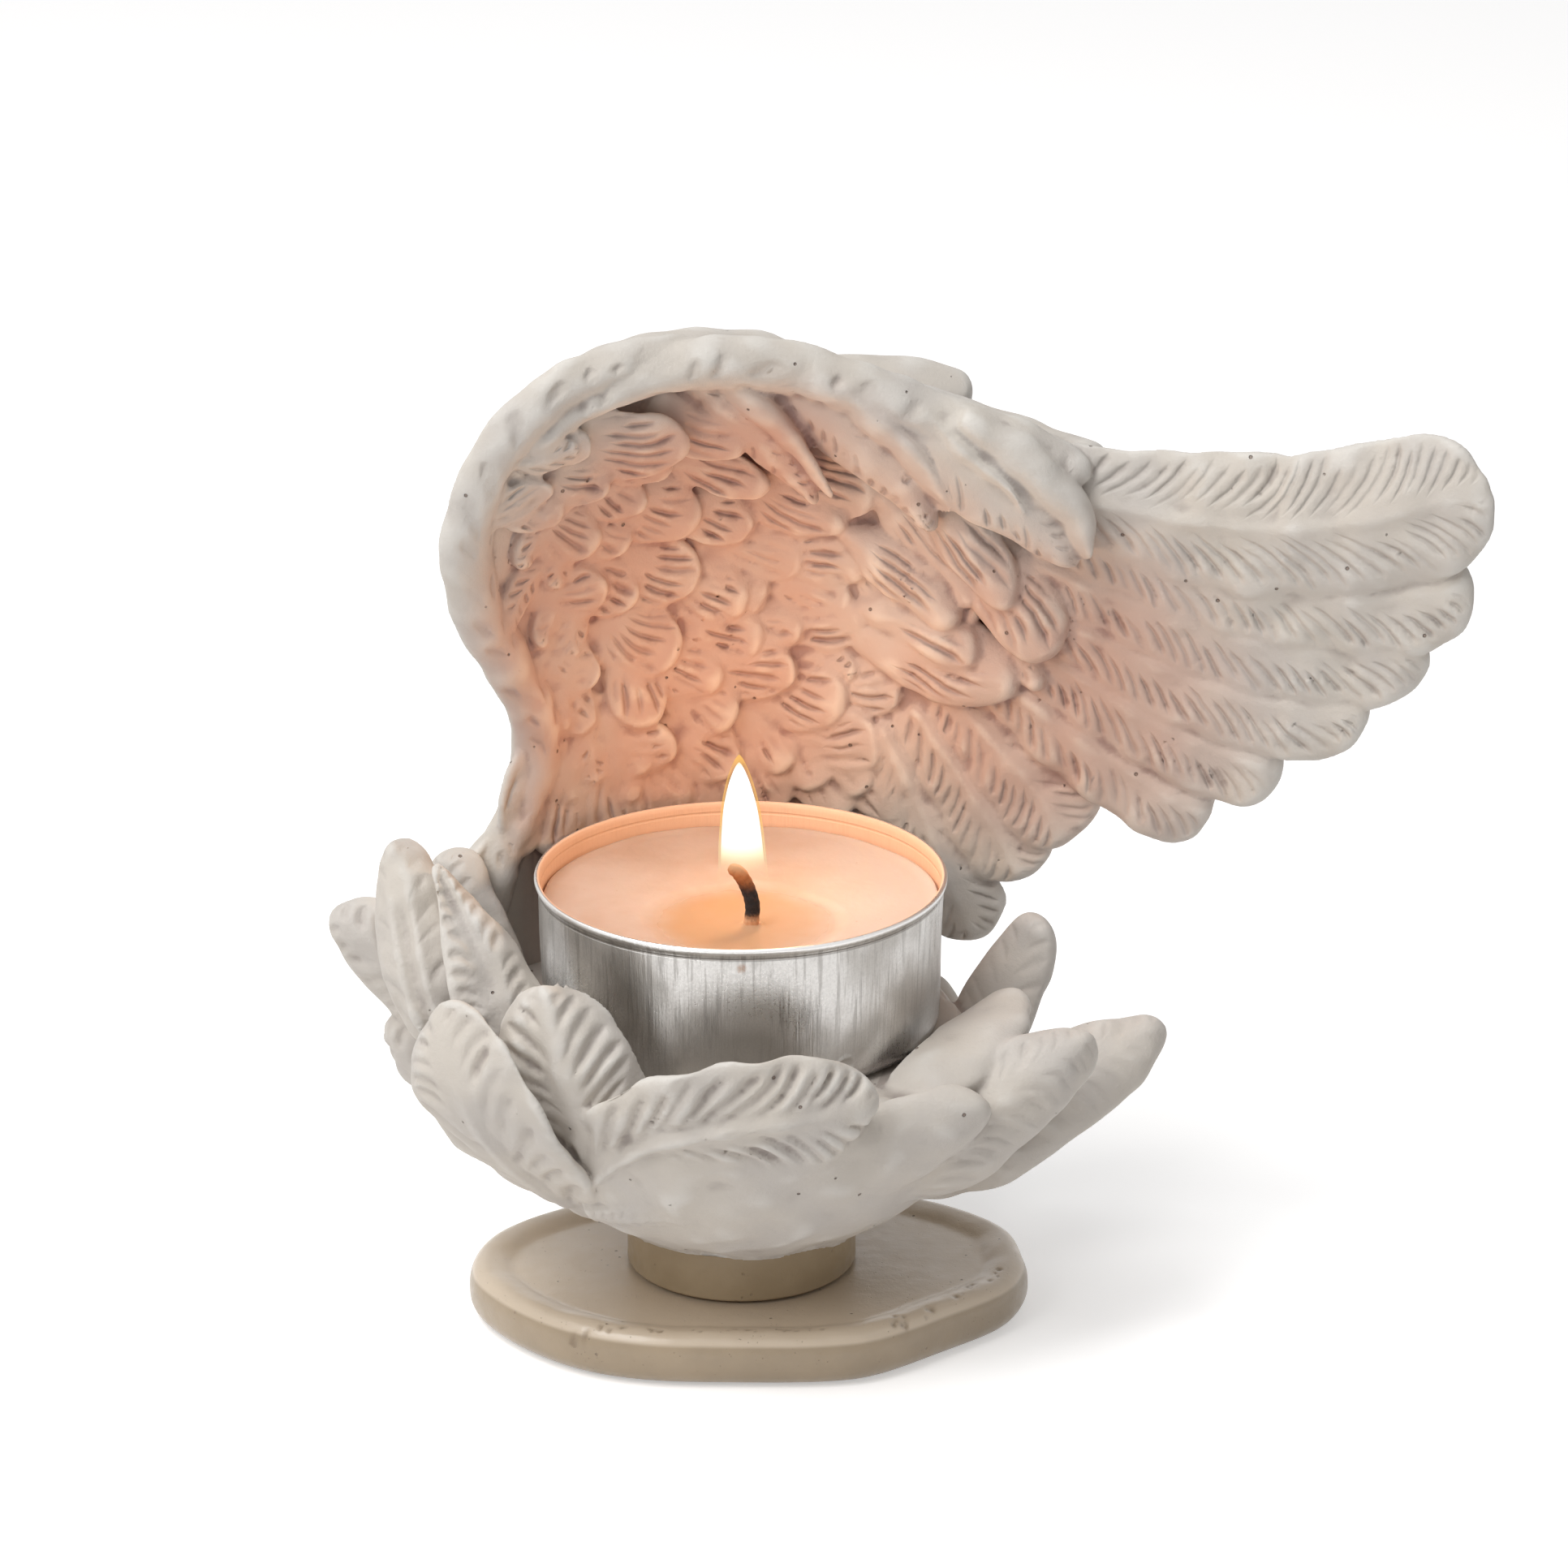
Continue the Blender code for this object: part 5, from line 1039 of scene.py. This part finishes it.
def stoneLook(name, light, dark, roughness, pits, face):
    # pits is how much of the plate's pits and gloss shows, and face how much of the painted lighter top the
    # upper side takes
    look, looks, shader = newLook(name, {"Specular IOR Level": 0.6, "Coat Weight": 0.35 * pits,
                                         "Coat Roughness": 0.22})
    where = looks.place()
    cloud = looks.noise(where, 0.11, 4.0, 0.6)
    colour = looks.mix(looks.remap(cloud, 0.3, 0.7), light, dark)
    # Painted light: the upper side is painted paler, for the light and the backdrop's reflection on it
    upper = looks.remap(looks.part(where, "Z"), 3.9, 4.3, 0.0, face)
    colour = looks.mix(upper, colour, plateSettings["paintedLitTop"])
    large = specks(looks, where, 0.75, 0.13, 0.07, 0.22, 0.53, 0.6)
    small = specks(looks, where, 2.1, 0.16, 0.06, 0.5, 0.5, 0.62)
    marks = looks.math("MAXIMUM", looks.times(large, 0.75), looks.times(small, 0.4))
    colour = looks.mix(looks.times(marks, pits), colour, plateSettings["stoneDark"])
    colour = looks.mix(looks.times(looks.read("pit"), 0.7), colour, plateSettings["stoneDark"])
    rough = looks.remap(looks.noise(where, 0.8, 3.0), 0.3, 0.7, roughness - 0.06, roughness + 0.08)
    grain = looks.times(looks.noise(where, 3.0, 3.0, 0.6), 0.02)
    height = looks.plus(grain, looks.times(looks.noise(where, 0.35, 2.0), 0.1))
    height = looks.less(height, looks.times(marks, 0.12 * pits))
    looks.fill(shader, {"Base Color": colour, "Roughness": rough, "Normal": looks.relief(height)})
    return look


plateLook = stoneLook("beigeStone", plateSettings["stone"], plateSettings["stoneCloud"],
                      plateSettings["roughness"], 1.0, plateSettings["paintedLitTopShare"])
platePoints, plateFaces, platePits = plateShape()
pebblePlate = addPiece("pebblePlate", platePoints, plateFaces, plateLook, "beige_stone", "base_plate")
addReading(pebblePlate, "pit", platePits)


# Collar: a plain round spacer with soft edges
collarSettings = {
    "colour": (0.42, 0.32, 0.20),
    "colourDark": (0.35, 0.26, 0.155),
    "roughness": 0.46,
    "pits": 0.45,            # how much of the plate's pits and gloss it has
    "edge": 0.3,             # radius of its rounded edges
}


def collarShape():
    radius = collarHigh[0]
    low = collarLow[2]
    high = collarHigh[2]
    edge = collarSettings["edge"]
    turns = np.linspace(0, 1.57, 7)
    corner = [(radius - edge + edge * math.sin(a), edge - edge * math.cos(a)) for a in turns]
    side = [(radius, low + k * (high - low)) for k in np.linspace(0.12, 0.88, 12)]
    profile = [(0, low), (0.5 * radius, low), (0.85 * radius, low)]
    profile += [(r, low + z) for r, z in corner] + side
    profile += [(r, high - z) for r, z in reversed(corner)] + [(0.6 * radius, high), (0, high)]
    points, faces = lathe(profile, 220)
    turn = polar(points)[1]
    part = smooth((points[:, 2] - low) / 0.6) * smooth((high - points[:, 2]) / 0.6)
    swell = 0.05 * np.sin(3 * turn + 0.5) + 0.03 * np.sin(8 * turn)
    points[:, :2] *= (1 - (0.004 + 0.004 * np.abs(swell)) * part)[:, None]
    return points, faces


collarLook = stoneLook("beigeCollar", collarSettings["colour"], collarSettings["colourDark"],
                       collarSettings["roughness"], collarSettings["pits"], 0.0)
addPiece("gluedCollar", *collarShape(), collarLook, "beige_collar", "collar")


# Tealight cup: thin drawn aluminium with upright lines, a rolled rim, a row of crimps and one dimple
cupSettings = {
    "metal": (0.62, 0.605, 0.585),
    "metalDull": (0.43, 0.41, 0.385),
    "dull": (0.30, 0.285, 0.27),
    # a painted highlight for the top of the rolled rim
    "lip": (0.80, 0.79, 0.775),
    "warm": (0.86, 0.52, 0.335),    # the inside wall, painted in the wax's colour: a painted reflection of the wax and the flame's light
    # a painted shade colour for the crimp line
    "crimp": (0.17, 0.15, 0.13),
    "crimpHeight": 13.35,
    "rust": (0.30, 0.17, 0.10),
    "rustPlace": (0.2, -19.0, 12.6),
    "wall": 0.55,
    "dimpleX": 9.6,          # place of the dimple, to the right of the middle
    "dimpleHeight": 1.9,
    "dimpleRadius": 0.85,
    "taper": 0.6,
}


def cupShape():
    rim = cupRadius
    base = rim - cupSettings["taper"]
    high = cupHigh[2] - cupLow[2]
    wall = cupSettings["wall"]
    outer = [(0, 0), (0.5 * base, 0), (base - 0.9, 0), (base - 0.3, 0.2), (base, 0.85)]
    outer += [(base + (rim - 0.3 - base) * k, 0.85 + (high - 1.75) * k) for k in np.linspace(0.04, 1, 60)]
    outer += [(rim - 0.12, high - 0.66), (rim, high - 0.42), (rim + rimRoll, high - 0.22),
              (rim - 0.03, high - 0.06), (rim - 0.18, high), (rim - 0.34, high - 0.04),
              (rim - 0.45, high - 0.2)]
    inner = [(rim - 0.45 - 0.25 * k - (rim - 0.7 - base + wall) * k ** 2 * 0.2, high - 0.3 - (high - 1.6) * k)
             for k in np.linspace(0.02, 1, 24)]
    profile = outer + inner + [(base - wall - 0.5, wall), (0.5 * base, wall), (0, wall)]
    points, faces = lathe(profile, 480)
    radius, turn = polar(points)
    part = points[:, 2] / high
    wallOnly = (radius > base - 1.0) * smooth(part / 0.2) * smooth((1 - part) / 0.05)
    # Faint dents, and short upright crimps below the rim
    dents = 0.05 * np.sin(3 * turn + 2.4 * part) * np.sin(2.5 * part * math.pi)
    dents = dents + 0.03 * np.sin(7 * turn + 3 * part)
    crimps = 0.014 * np.sin(150 * turn) * smooth((part - 0.5) / 0.4)
    shift = (dents + crimps) * wallOnly
    outside = points[:, 1] < 0
    away = np.hypot(points[:, 0] - cupSettings["dimpleX"], points[:, 2] - cupSettings["dimpleHeight"])
    away = away / cupSettings["dimpleRadius"]
    ring = np.exp(-((away - 0.9) / 0.16) ** 2) - 0.8 * np.exp(-(away / 0.75) ** 4)
    shift = shift + 0.07 * ring * outside * (radius > base - 0.2)
    scale = 1 + shift / np.maximum(radius, 1.0)
    points[:, :2] *= scale[:, None]
    # The rim isn't quite flat
    points[:, 2] += 0.05 * np.sin(2 * turn + 0.6) * smooth((part - 0.7) / 0.3)
    points[:, 2] = np.minimum(points[:, 2], high)
    return points + (0, 0, cupLow[2]), faces


def cupLook():
    look, looks, shader = newLook("drawnAluminium", {})
    where = looks.place()
    around = looks.math("ARCTAN2", looks.part(where, "Y"), looks.part(where, "X"))
    around = looks.times(around, cupRadius)
    height = looks.less(looks.part(where, "Z"), float(cupLow[2]))
    rimHeight = float(cupHigh[2] - cupLow[2])
    facing = looks.vector("DOT_PRODUCT", looks.flat(where), looks.node("NewGeometry").outputs["Normal"])
    inside = looks.remap(facing, -1.0, -5.0)
    lip = looks.remap(height, rimHeight - 0.75, rimHeight - 0.45)

    def drawn(acrossScale, upScale, detail, roughness):
        # A noise drawn out upwards, as the metal was
        values = {0: looks.times(around, acrossScale), 1: looks.times(height, upScale)}
        return looks.noise(looks.node("CombineXYZ", values).outputs[0], 1.0, detail, roughness)

    lines = drawn(3.4, 0.16, 4.0, 0.65)
    dark = drawn(1.5, 0.09, 3.0, 0.7)
    blots = looks.noise(where, 0.13)
    grain = looks.noise(where, 4.0, 3.0, 0.7)
    streak = looks.times(looks.remap(dark, 0.50, 0.64), looks.remap(height, 1.0, 9.0, 0.25, 1.0))
    crimp = looks.remap(looks.math("ABSOLUTE", looks.less(height, cupSettings["crimpHeight"])), 0.18, 0.05)
    x, y, z = cupSettings["rustPlace"]
    rust = looks.vector("DISTANCE", where, (x, y, float(cupLow[2]) + z))
    rust = looks.remap(looks.plus(rust, looks.times(grain, 0.5)), 0.95, 0.5, 0.0, 0.8)
    colour = looks.mix(looks.remap(blots, 0.42, 0.60), cupSettings["metal"], cupSettings["metalDull"])
    colour = looks.mix(looks.times(streak, 0.62), colour, cupSettings["dull"])
    colour = looks.mix(looks.remap(grain, 0.4, 0.75, 0.0, 0.25), colour, cupSettings["dull"])
    # Painted shade along the crimp line
    colour = looks.mix(looks.times(crimp, 0.55), colour, cupSettings["crimp"])
    colour = looks.mix(rust, colour, cupSettings["rust"])
    # Painted highlight along the rolled rim
    colour = looks.mix(looks.times(lip, 0.9), colour, cupSettings["lip"])
    # Painted reflection: the inside wall shows the wax's warm colour in place of the metal's own reflection
    colour = looks.mix(looks.times(inside, 0.9), colour, cupSettings["warm"])
    rough = looks.plus(looks.remap(grain, 0.2, 0.8, 0.26, 0.40), looks.remap(blots, 0.3, 0.7, -0.04, 0.08))
    rough = looks.plus(rough, looks.times(inside, 0.3))
    raised = looks.plus(looks.times(lines, 0.05), looks.times(grain, 0.012))
    raised = looks.less(raised, looks.times(crimp, 0.05))
    looks.fill(shader, {"Base Color": colour, "Roughness": rough, "Normal": looks.relief(raised),
                        "Metallic": looks.less(1.0, looks.times(inside, 0.9))})
    return look


addPiece("drawnCup", *cupShape(), cupLook(), "tealight_aluminium", "tealight_cup")


# Wax: filled to below the rim, uneven at the edge, with a melt pool round the wick
wickX = 1.0
wickY = -6.4
waxSettings = {
    "colour": (0.49, 0.34, 0.26),
    "pale": (0.55, 0.41, 0.335),
    "paleRight": (0.62, 0.52, 0.45),
    "pool": (0.47, 0.25, 0.115),
    "speck": (0.45, 0.20, 0.10),
    "glow": (1.0, 0.52, 0.30),
    "poolGlow": (1.0, 0.46, 0.17),
    "poolRadius": 8.8,
    "poolDepth": 0.30,
    "poolX": 0.35,
    "poolY": -5.3,
    "roughness": 0.42,
}


def waxShape():
    top = waxHigh[2]
    base = waxLow[2]
    radius = cupRadius - cupSettings["wall"] - 0.12
    low = radius - cupSettings["taper"]
    profile = [(0, base), (0.5 * low, base), (low - 0.5, base), (low - 0.1, base + 0.4)]
    ups = np.linspace(0.1, 1, 12)
    profile += [(low + (radius - low) * k, base + 0.4 + (top - base - 0.5) * k) for k in ups]
    inner = np.concatenate([[radius - 0.15, radius - 0.4, radius - 0.8], np.linspace(radius - 1.2, 0.2, 80)])
    profile += [(r, top) for r in inner] + [(0, top)]
    points, faces = lathe(profile, 260)
    x, y, z = points.T
    far, turn = polar(points)
    onTop = z > top - 0.05
    pool = np.hypot(x - waxSettings["poolX"], y - waxSettings["poolY"])
    pool = pool + 0.35 * np.sin(3 * turn + 1) + 0.2 * np.sin(7 * turn)
    change = -waxSettings["poolDepth"] * smooth((waxSettings["poolRadius"] - pool) / 1.6 + 0.5)
    # The wax creeps up the wick and, here and there, up the wall
    change = change + 0.5 * np.exp(-(np.hypot(x - wickX, y - wickY) / 0.95) ** 2)
    uneven = 0.5 + 0.5 * np.sin(2 * turn + 1.0) * np.sin(5 * turn + 0.4)
    change = change + (0.10 + 0.22 * uneven) * smooth((far - radius + 1.1) / 1.1)
    change = change + 0.04 * np.sin(0.7 * x + 1) * np.sin(0.6 * y)
    points[:, 2] = np.where(onTop, z + change, z)
    return points, faces


def waxLook():
    look, looks, shader = newLook("peachWax", {
        "Specular IOR Level": 0.5, "Subsurface Weight": 0.35, "Subsurface Scale": 0.004,
        "Subsurface Radius": (1.0, 0.5, 0.3), "Emission Strength": 1.0})
    where = looks.place()
    right = looks.part(where, "X")
    far = looks.vector("DISTANCE", looks.flat(where), (waxSettings["poolX"], waxSettings["poolY"], 0.0))
    far = looks.plus(far, looks.times(looks.noise(where, 0.35), 1.6))
    pool = looks.remap(far, waxSettings["poolRadius"] + 2.0, waxSettings["poolRadius"] - 2.4)
    cloud = looks.noise(where, 0.16, 3.0, 0.55)
    colour = looks.mix(looks.remap(cloud, 0.3, 0.7), waxSettings["colour"], waxSettings["pale"])
    colour = looks.mix(looks.remap(right, 2.0, 14.0, 0.0, 0.7), colour, waxSettings["paleRight"])
    tint = looks.times(pool, looks.remap(right, -3.0, 9.0, 0.8, 0.35))
    colour = looks.mix(tint, colour, waxSettings["pool"])
    mark = specks(looks, where, 0.5, 0.06, 0.03, 0.2, 0.54, 0.58)
    colour = looks.mix(looks.times(mark, 0.5), colour, waxSettings["speck"])
    # The flame shines through the wax, most of all close to the wick
    near = looks.plus(looks.remap(far, 22.0, 0.0, 0.01, 0.06), 0.04)
    glow = looks.mix(near, black, looks.mix(pool, waxSettings["glow"], waxSettings["poolGlow"]))
    height = looks.times(looks.noise(where, 0.9, 3.0, 0.6), looks.remap(pool, 0.0, 1.0, 0.05, 0.0))
    looks.fill(shader, {"Base Color": colour, "Emission Color": glow, "Normal": looks.relief(height),
                        "Roughness": looks.remap(pool, 0.0, 1.0, waxSettings["roughness"], 0.12)})
    return look


addPiece("pouredWax", *waxShape(), waxLook(), "candle_wax", "wax")


# Wick: charred, bent to the left at the top
wickSettings = {
    "radius": 0.68,
    "rise": 5.4,             # how high it stands out of the wax
    "rings": 150,
    "char": (0.012, 0.008, 0.007),
    "charBrown": (0.12, 0.05, 0.03),
    "ember": (0.42, 0.13, 0.035),
    "emberGlow": (0.50, 0.12, 0.02),
    "foot": (0.72, 0.40, 0.22),
}


def wickShape():
    stand = waxHigh[2] - waxSettings["poolDepth"]
    rise = wickSettings["rise"]
    line = [(0, 0, wickLow[2]), (0, 0, 0.5 * (wickLow[2] + stand)), (0, 0, stand),
            (0.1, 0.1, stand + 0.35 * rise), (-0.3, 0.3, stand + 0.65 * rise),
            (-1.1, 0.3, stand + 0.9 * rise), (-2.0, 0.3, stand + rise)]
    part = np.linspace(0, 1, wickSettings["rings"])
    centre = curveThrough(line, part)[0] + (wickX, wickY, 0)
    centre[:, 2] += (wickHigh[2] - 0.45 - centre[:, 2].max()) * smooth((centre[:, 2] - stand) / rise)
    ahead = unit(np.gradient(centre, axis=0))
    sideways = unit(np.cross(ahead, (0, 1, 0)))
    third = np.cross(sideways, ahead)
    turn = np.linspace(0, 2 * np.pi, 40, endpoint=False)
    girth = wickSettings["radius"] * np.interp(part, [0, 0.02, 0.93, 0.985, 1], [0.7, 1, 0.98, 0.8, 0.45])
    # Three plies twisted round each other, and crumbly char
    up = part[:, None]
    twist = 0.06 * np.cos(3 * turn + 22 * up)
    crumbs = 0.05 * np.sin(61 * up + 5 * turn) * np.sin(97 * up - 4 * turn)
    width = (girth[:, None] * (1 + twist + crumbs))[..., None]
    circle = sideways[:, None] * np.cos(turn)[None, :, None] + third[:, None] * np.sin(turn)[None, :, None]
    points, faces = ringsToMesh(centre[:, None] + width * circle)
    return points, outward(points, faces)


def wickLook():
    look, looks, shader = newLook("charredCotton", {"Roughness": 0.85, "Emission Strength": 0.5})
    where = looks.place()
    grain = looks.noise(where, 3.0, 3.0, 0.7)
    shaken = looks.plus(looks.part(where, "Z"), looks.times(grain, 0.9))
    foot = looks.remap(shaken, float(waxHigh[2]) + 1.7, float(waxHigh[2]) + 0.7)
    tip = looks.remap(shaken, float(wickHigh[2]) - 2.4, float(wickHigh[2]) - 0.4)
    brown = looks.remap(grain, 0.45, 0.75, 0.0, 0.25)
    colour = looks.mix(brown, wickSettings["char"], wickSettings["charBrown"])
    colour = looks.mix(foot, colour, wickSettings["foot"])
    colour = looks.mix(looks.times(tip, 0.9), colour, wickSettings["ember"])
    glow = looks.mix(looks.times(tip, 0.5), black, wickSettings["emberGlow"])
    looks.fill(shader, {"Base Color": colour, "Emission Color": glow,
                        "Normal": looks.relief(looks.times(grain, 0.12))})
    return look


addPiece("charredWick", *wickShape(), wickLook(), "charred_cotton", "wick")


# The clip at the bottom of the wax stays the CAD node, with its own steel
clipSettings = {"steelDark": (0.42, 0.42, 0.42), "steel": (0.62, 0.61, 0.60)}


def clipLook():
    look, looks, shader = newLook("tinnedSteel", {"Metallic": 1.0})
    grain = looks.noise(looks.place(), 2.0, 3.0)
    colour = looks.mix(grain, clipSettings["steelDark"], clipSettings["steel"])
    looks.fill(shader, {"Base Color": colour, "Roughness": looks.remap(grain, 0.3, 0.7, 0.3, 0.45)})
    return look


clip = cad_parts["wick_clip"]
clip.data.materials.clear()
clip.data.materials.append(clipLook())


# Flame: a white core in a thin yellow and orange skin, clear at the bottom
flameSettings = {
    "top": 57.0,
    "bottom": 43.2,
    "width": 4.5,
    "x": 0.2,
    "y": -6.1,
    "around": 48,
    "brightness": 1.5,       # of the core
    "core": (1.0, 1.0, 0.97),
    "low": (1.0, 0.84, 0.50),
    "skin": (1.0, 0.56, 0.16),
    "skinLow": (1.0, 0.86, 0.50),
}


def flameShape(swell, lift):
    top = flameSettings["top"] + lift
    bottom = flameSettings["bottom"]
    # Share of the height, and share of the width there
    profile = [(0.0, 0.9), (0.12, 1.0), (0.3, 0.96), (0.48, 0.88), (0.66, 0.75), (0.83, 0.50), (0.92, 0.30),
               (0.975, 0.14), (1.0, 0.02)]
    outline = curveThrough(profile, np.linspace(0, 1, 90))[0]
    half = 0.5 * flameSettings["width"] * outline[:, 1] * swell
    height = bottom + (top - bottom) * outline[:, 0]
    lean = 0.25 * smooth((outline[:, 0] - 0.2) / 0.8) - 0.12 * smooth((0.4 - outline[:, 0]) / 0.4)
    turn = np.linspace(0, 2 * np.pi, flameSettings["around"], endpoint=False)
    rings = np.stack([flameSettings["x"] - lean[:, None] + half[:, None] * np.cos(turn),
                      flameSettings["y"] + half[:, None] * np.sin(turn),
                      np.repeat(height[:, None], len(turn), axis=1)], axis=-1)
    points, faces = ringsToMesh(rings)
    return points, outward(points, faces)


def flameLook(name, inside):
    look, looks, shader = newLook(name, {"Base Color": black, "Roughness": 1.0, "Specular IOR Level": 0.0})
    high = looks.part(looks.place(), "Z")
    low = flameSettings["bottom"]
    top = flameSettings["top"]
    if inside:
        bright = looks.remap(high, low + 3.4, low + 6.8)
        colour = looks.mix(bright, flameSettings["low"], flameSettings["core"])
        alpha = looks.remap(high, low + 2.6, low + 6.4)
    else:
        warm = looks.remap(high, low + 3.0, low + 9.0)
        colour = looks.mix(warm, flameSettings["skinLow"], flameSettings["skin"])
        facing = looks.node("LayerWeight", {"Blend": 0.5}).outputs["Facing"]
        alpha = looks.times(looks.remap(high, low + 1.4, low + 6.0), looks.remap(facing, 0.3, 1.0, 0.08, 0.6))
        alpha = looks.math("MAXIMUM", alpha, looks.remap(high, top - 1.6, top, 0.0, 0.85))
    looks.fill(shader, {"Emission Color": colour, "Alpha": alpha,
                        "Emission Strength": flameSettings["brightness"] if inside else 1.0})
    return look


flameCore = addPiece("flameCore", *flameShape(0.9, -0.75), flameLook("flameWhite", True), None)
flameSkin = addPiece("flameSkin", *flameShape(1.0, 0.0), flameLook("flameSkin", False), None)
for flame in (flameCore, flameSkin):
    flame.visible_shadow = False
    flame.visible_diffuse = False


# Floor, lights and camera, in metres
print("stage, lights and camera")
stageSettings = {
    "floorColour": (0.90, 0.89, 0.885),
    "whiteShare": 0.41,      # plain white that the camera sees on the floor, added to the lit colour
    "skyStrength": 0.34,
    "floorReach": 6.0,
    "floorDrop": 0.0002,     # just under the plate
    "keyPower": 0.92,
    "keyPlace": (-0.26, -0.27, 0.38),
    "keySize": (0.24, 0.24),
    "topPower": 5.1,
    "topPlace": (-0.30, -0.12, 0.92),
    "topSize": (0.50, 0.45),
    "flamePower": 0.0092,
    "flamePlace": (0.0020, 0.0010, 0.0550),
    "flameSize": 0.0022,
    "flameColour": (1.0, 0.70, 0.43),
    "lightsAimAt": (0.01, 0.0, 0.045),
    "cameraAimsAt": (0.004, 0.0, 0.0519),
    "cameraDistance": 0.52,
    "cameraElevation": 20.5,
    "lens": 130.32,
    "sensor": 36.0,
    "cameraSeesTo": 20.0,
}
floorMesh = bpy.data.meshes.new("floor")
reach = stageSettings["floorReach"]
corners = [(-reach, -reach, 0), (reach, -reach, 0), (reach, reach, 0), (-reach, reach, 0)]
floorMesh.from_pydata(corners, [], [(0, 1, 2, 3)])
floor = bpy.data.objects.new("floor", floorMesh)
floor.location.z = -stageSettings["floorDrop"]
bpy.context.scene.collection.objects.link(floor)


def seenDirectly(looks):
    # 1 for rays from the camera, also by way of a mirror or glass
    path = looks.node("LightPath").outputs
    seen = looks.math("MAXIMUM", path["Is Glossy Ray"], path["Is Transmission Ray"])
    return looks.math("MAXIMUM", path["Is Camera Ray"], seen)


def floorLook():
    look, looks, shader = newLook("paleFloor", {"Base Color": stageSettings["floorColour"], "Roughness": 0.9,
                                                "Specular IOR Level": 0.1})
    share = looks.times(seenDirectly(looks), stageSettings["whiteShare"])
    glow = looks.node("Emission", {"Color": white, "Strength": share})
    both = looks.node("AddShader", {0: shader.outputs[0], 1: glow.outputs[0]})
    looks.put(look.node_tree.nodes["Material Output"].inputs["Surface"], both.outputs[0])
    return look


floorMesh.materials.append(floorLook())

world = bpy.data.worlds.new("studio")
bpy.context.scene.world = world
world.use_nodes = True
sky = Looks(world.node_tree)
strength = sky.remap(seenDirectly(sky), 0.0, 1.0, stageSettings["skyStrength"], 1.0, smoothly=False)
sky.fill(world.node_tree.nodes["Background"], {"Color": white, "Strength": strength})


def aim(made, place, target):
    made.location = place
    made.rotation_euler = (Vector(target) - Vector(place)).to_track_quat("-Z", "Y").to_euler()
    bpy.context.scene.collection.objects.link(made)


def addLight(name, kind, colour=white):
    # The stage's power, place and size for the light of this name
    lamp = bpy.data.lights.new(name + "Light", kind)
    lamp.energy = stageSettings[name + "Power"]
    lamp.color = colour
    size = stageSettings[name + "Size"]
    if kind == "AREA":
        lamp.shape = "RECTANGLE"
        lamp.size, lamp.size_y = size
    else:
        lamp.shadow_soft_size = size
    made = bpy.data.objects.new(name + "Light", lamp)
    aim(made, stageSettings[name + "Place"], stageSettings["lightsAimAt"])


addLight("key", "AREA")
addLight("top", "AREA")
addLight("flame", "POINT", stageSettings["flameColour"])

camera = bpy.data.objects.new("camera", bpy.data.cameras.new("camera"))
camera.data.sensor_width = stageSettings["sensor"]
camera.data.lens = stageSettings["lens"]
camera.data.clip_end = stageSettings["cameraSeesTo"]
elevation = math.radians(stageSettings["cameraElevation"])
target = Vector(stageSettings["cameraAimsAt"])
away = Vector((0.0, -math.cos(elevation), math.sin(elevation)))
aim(camera, target + stageSettings["cameraDistance"] * away, target)
bpy.context.scene.camera = camera
bpy.context.scene.view_settings.view_transform = "Standard"
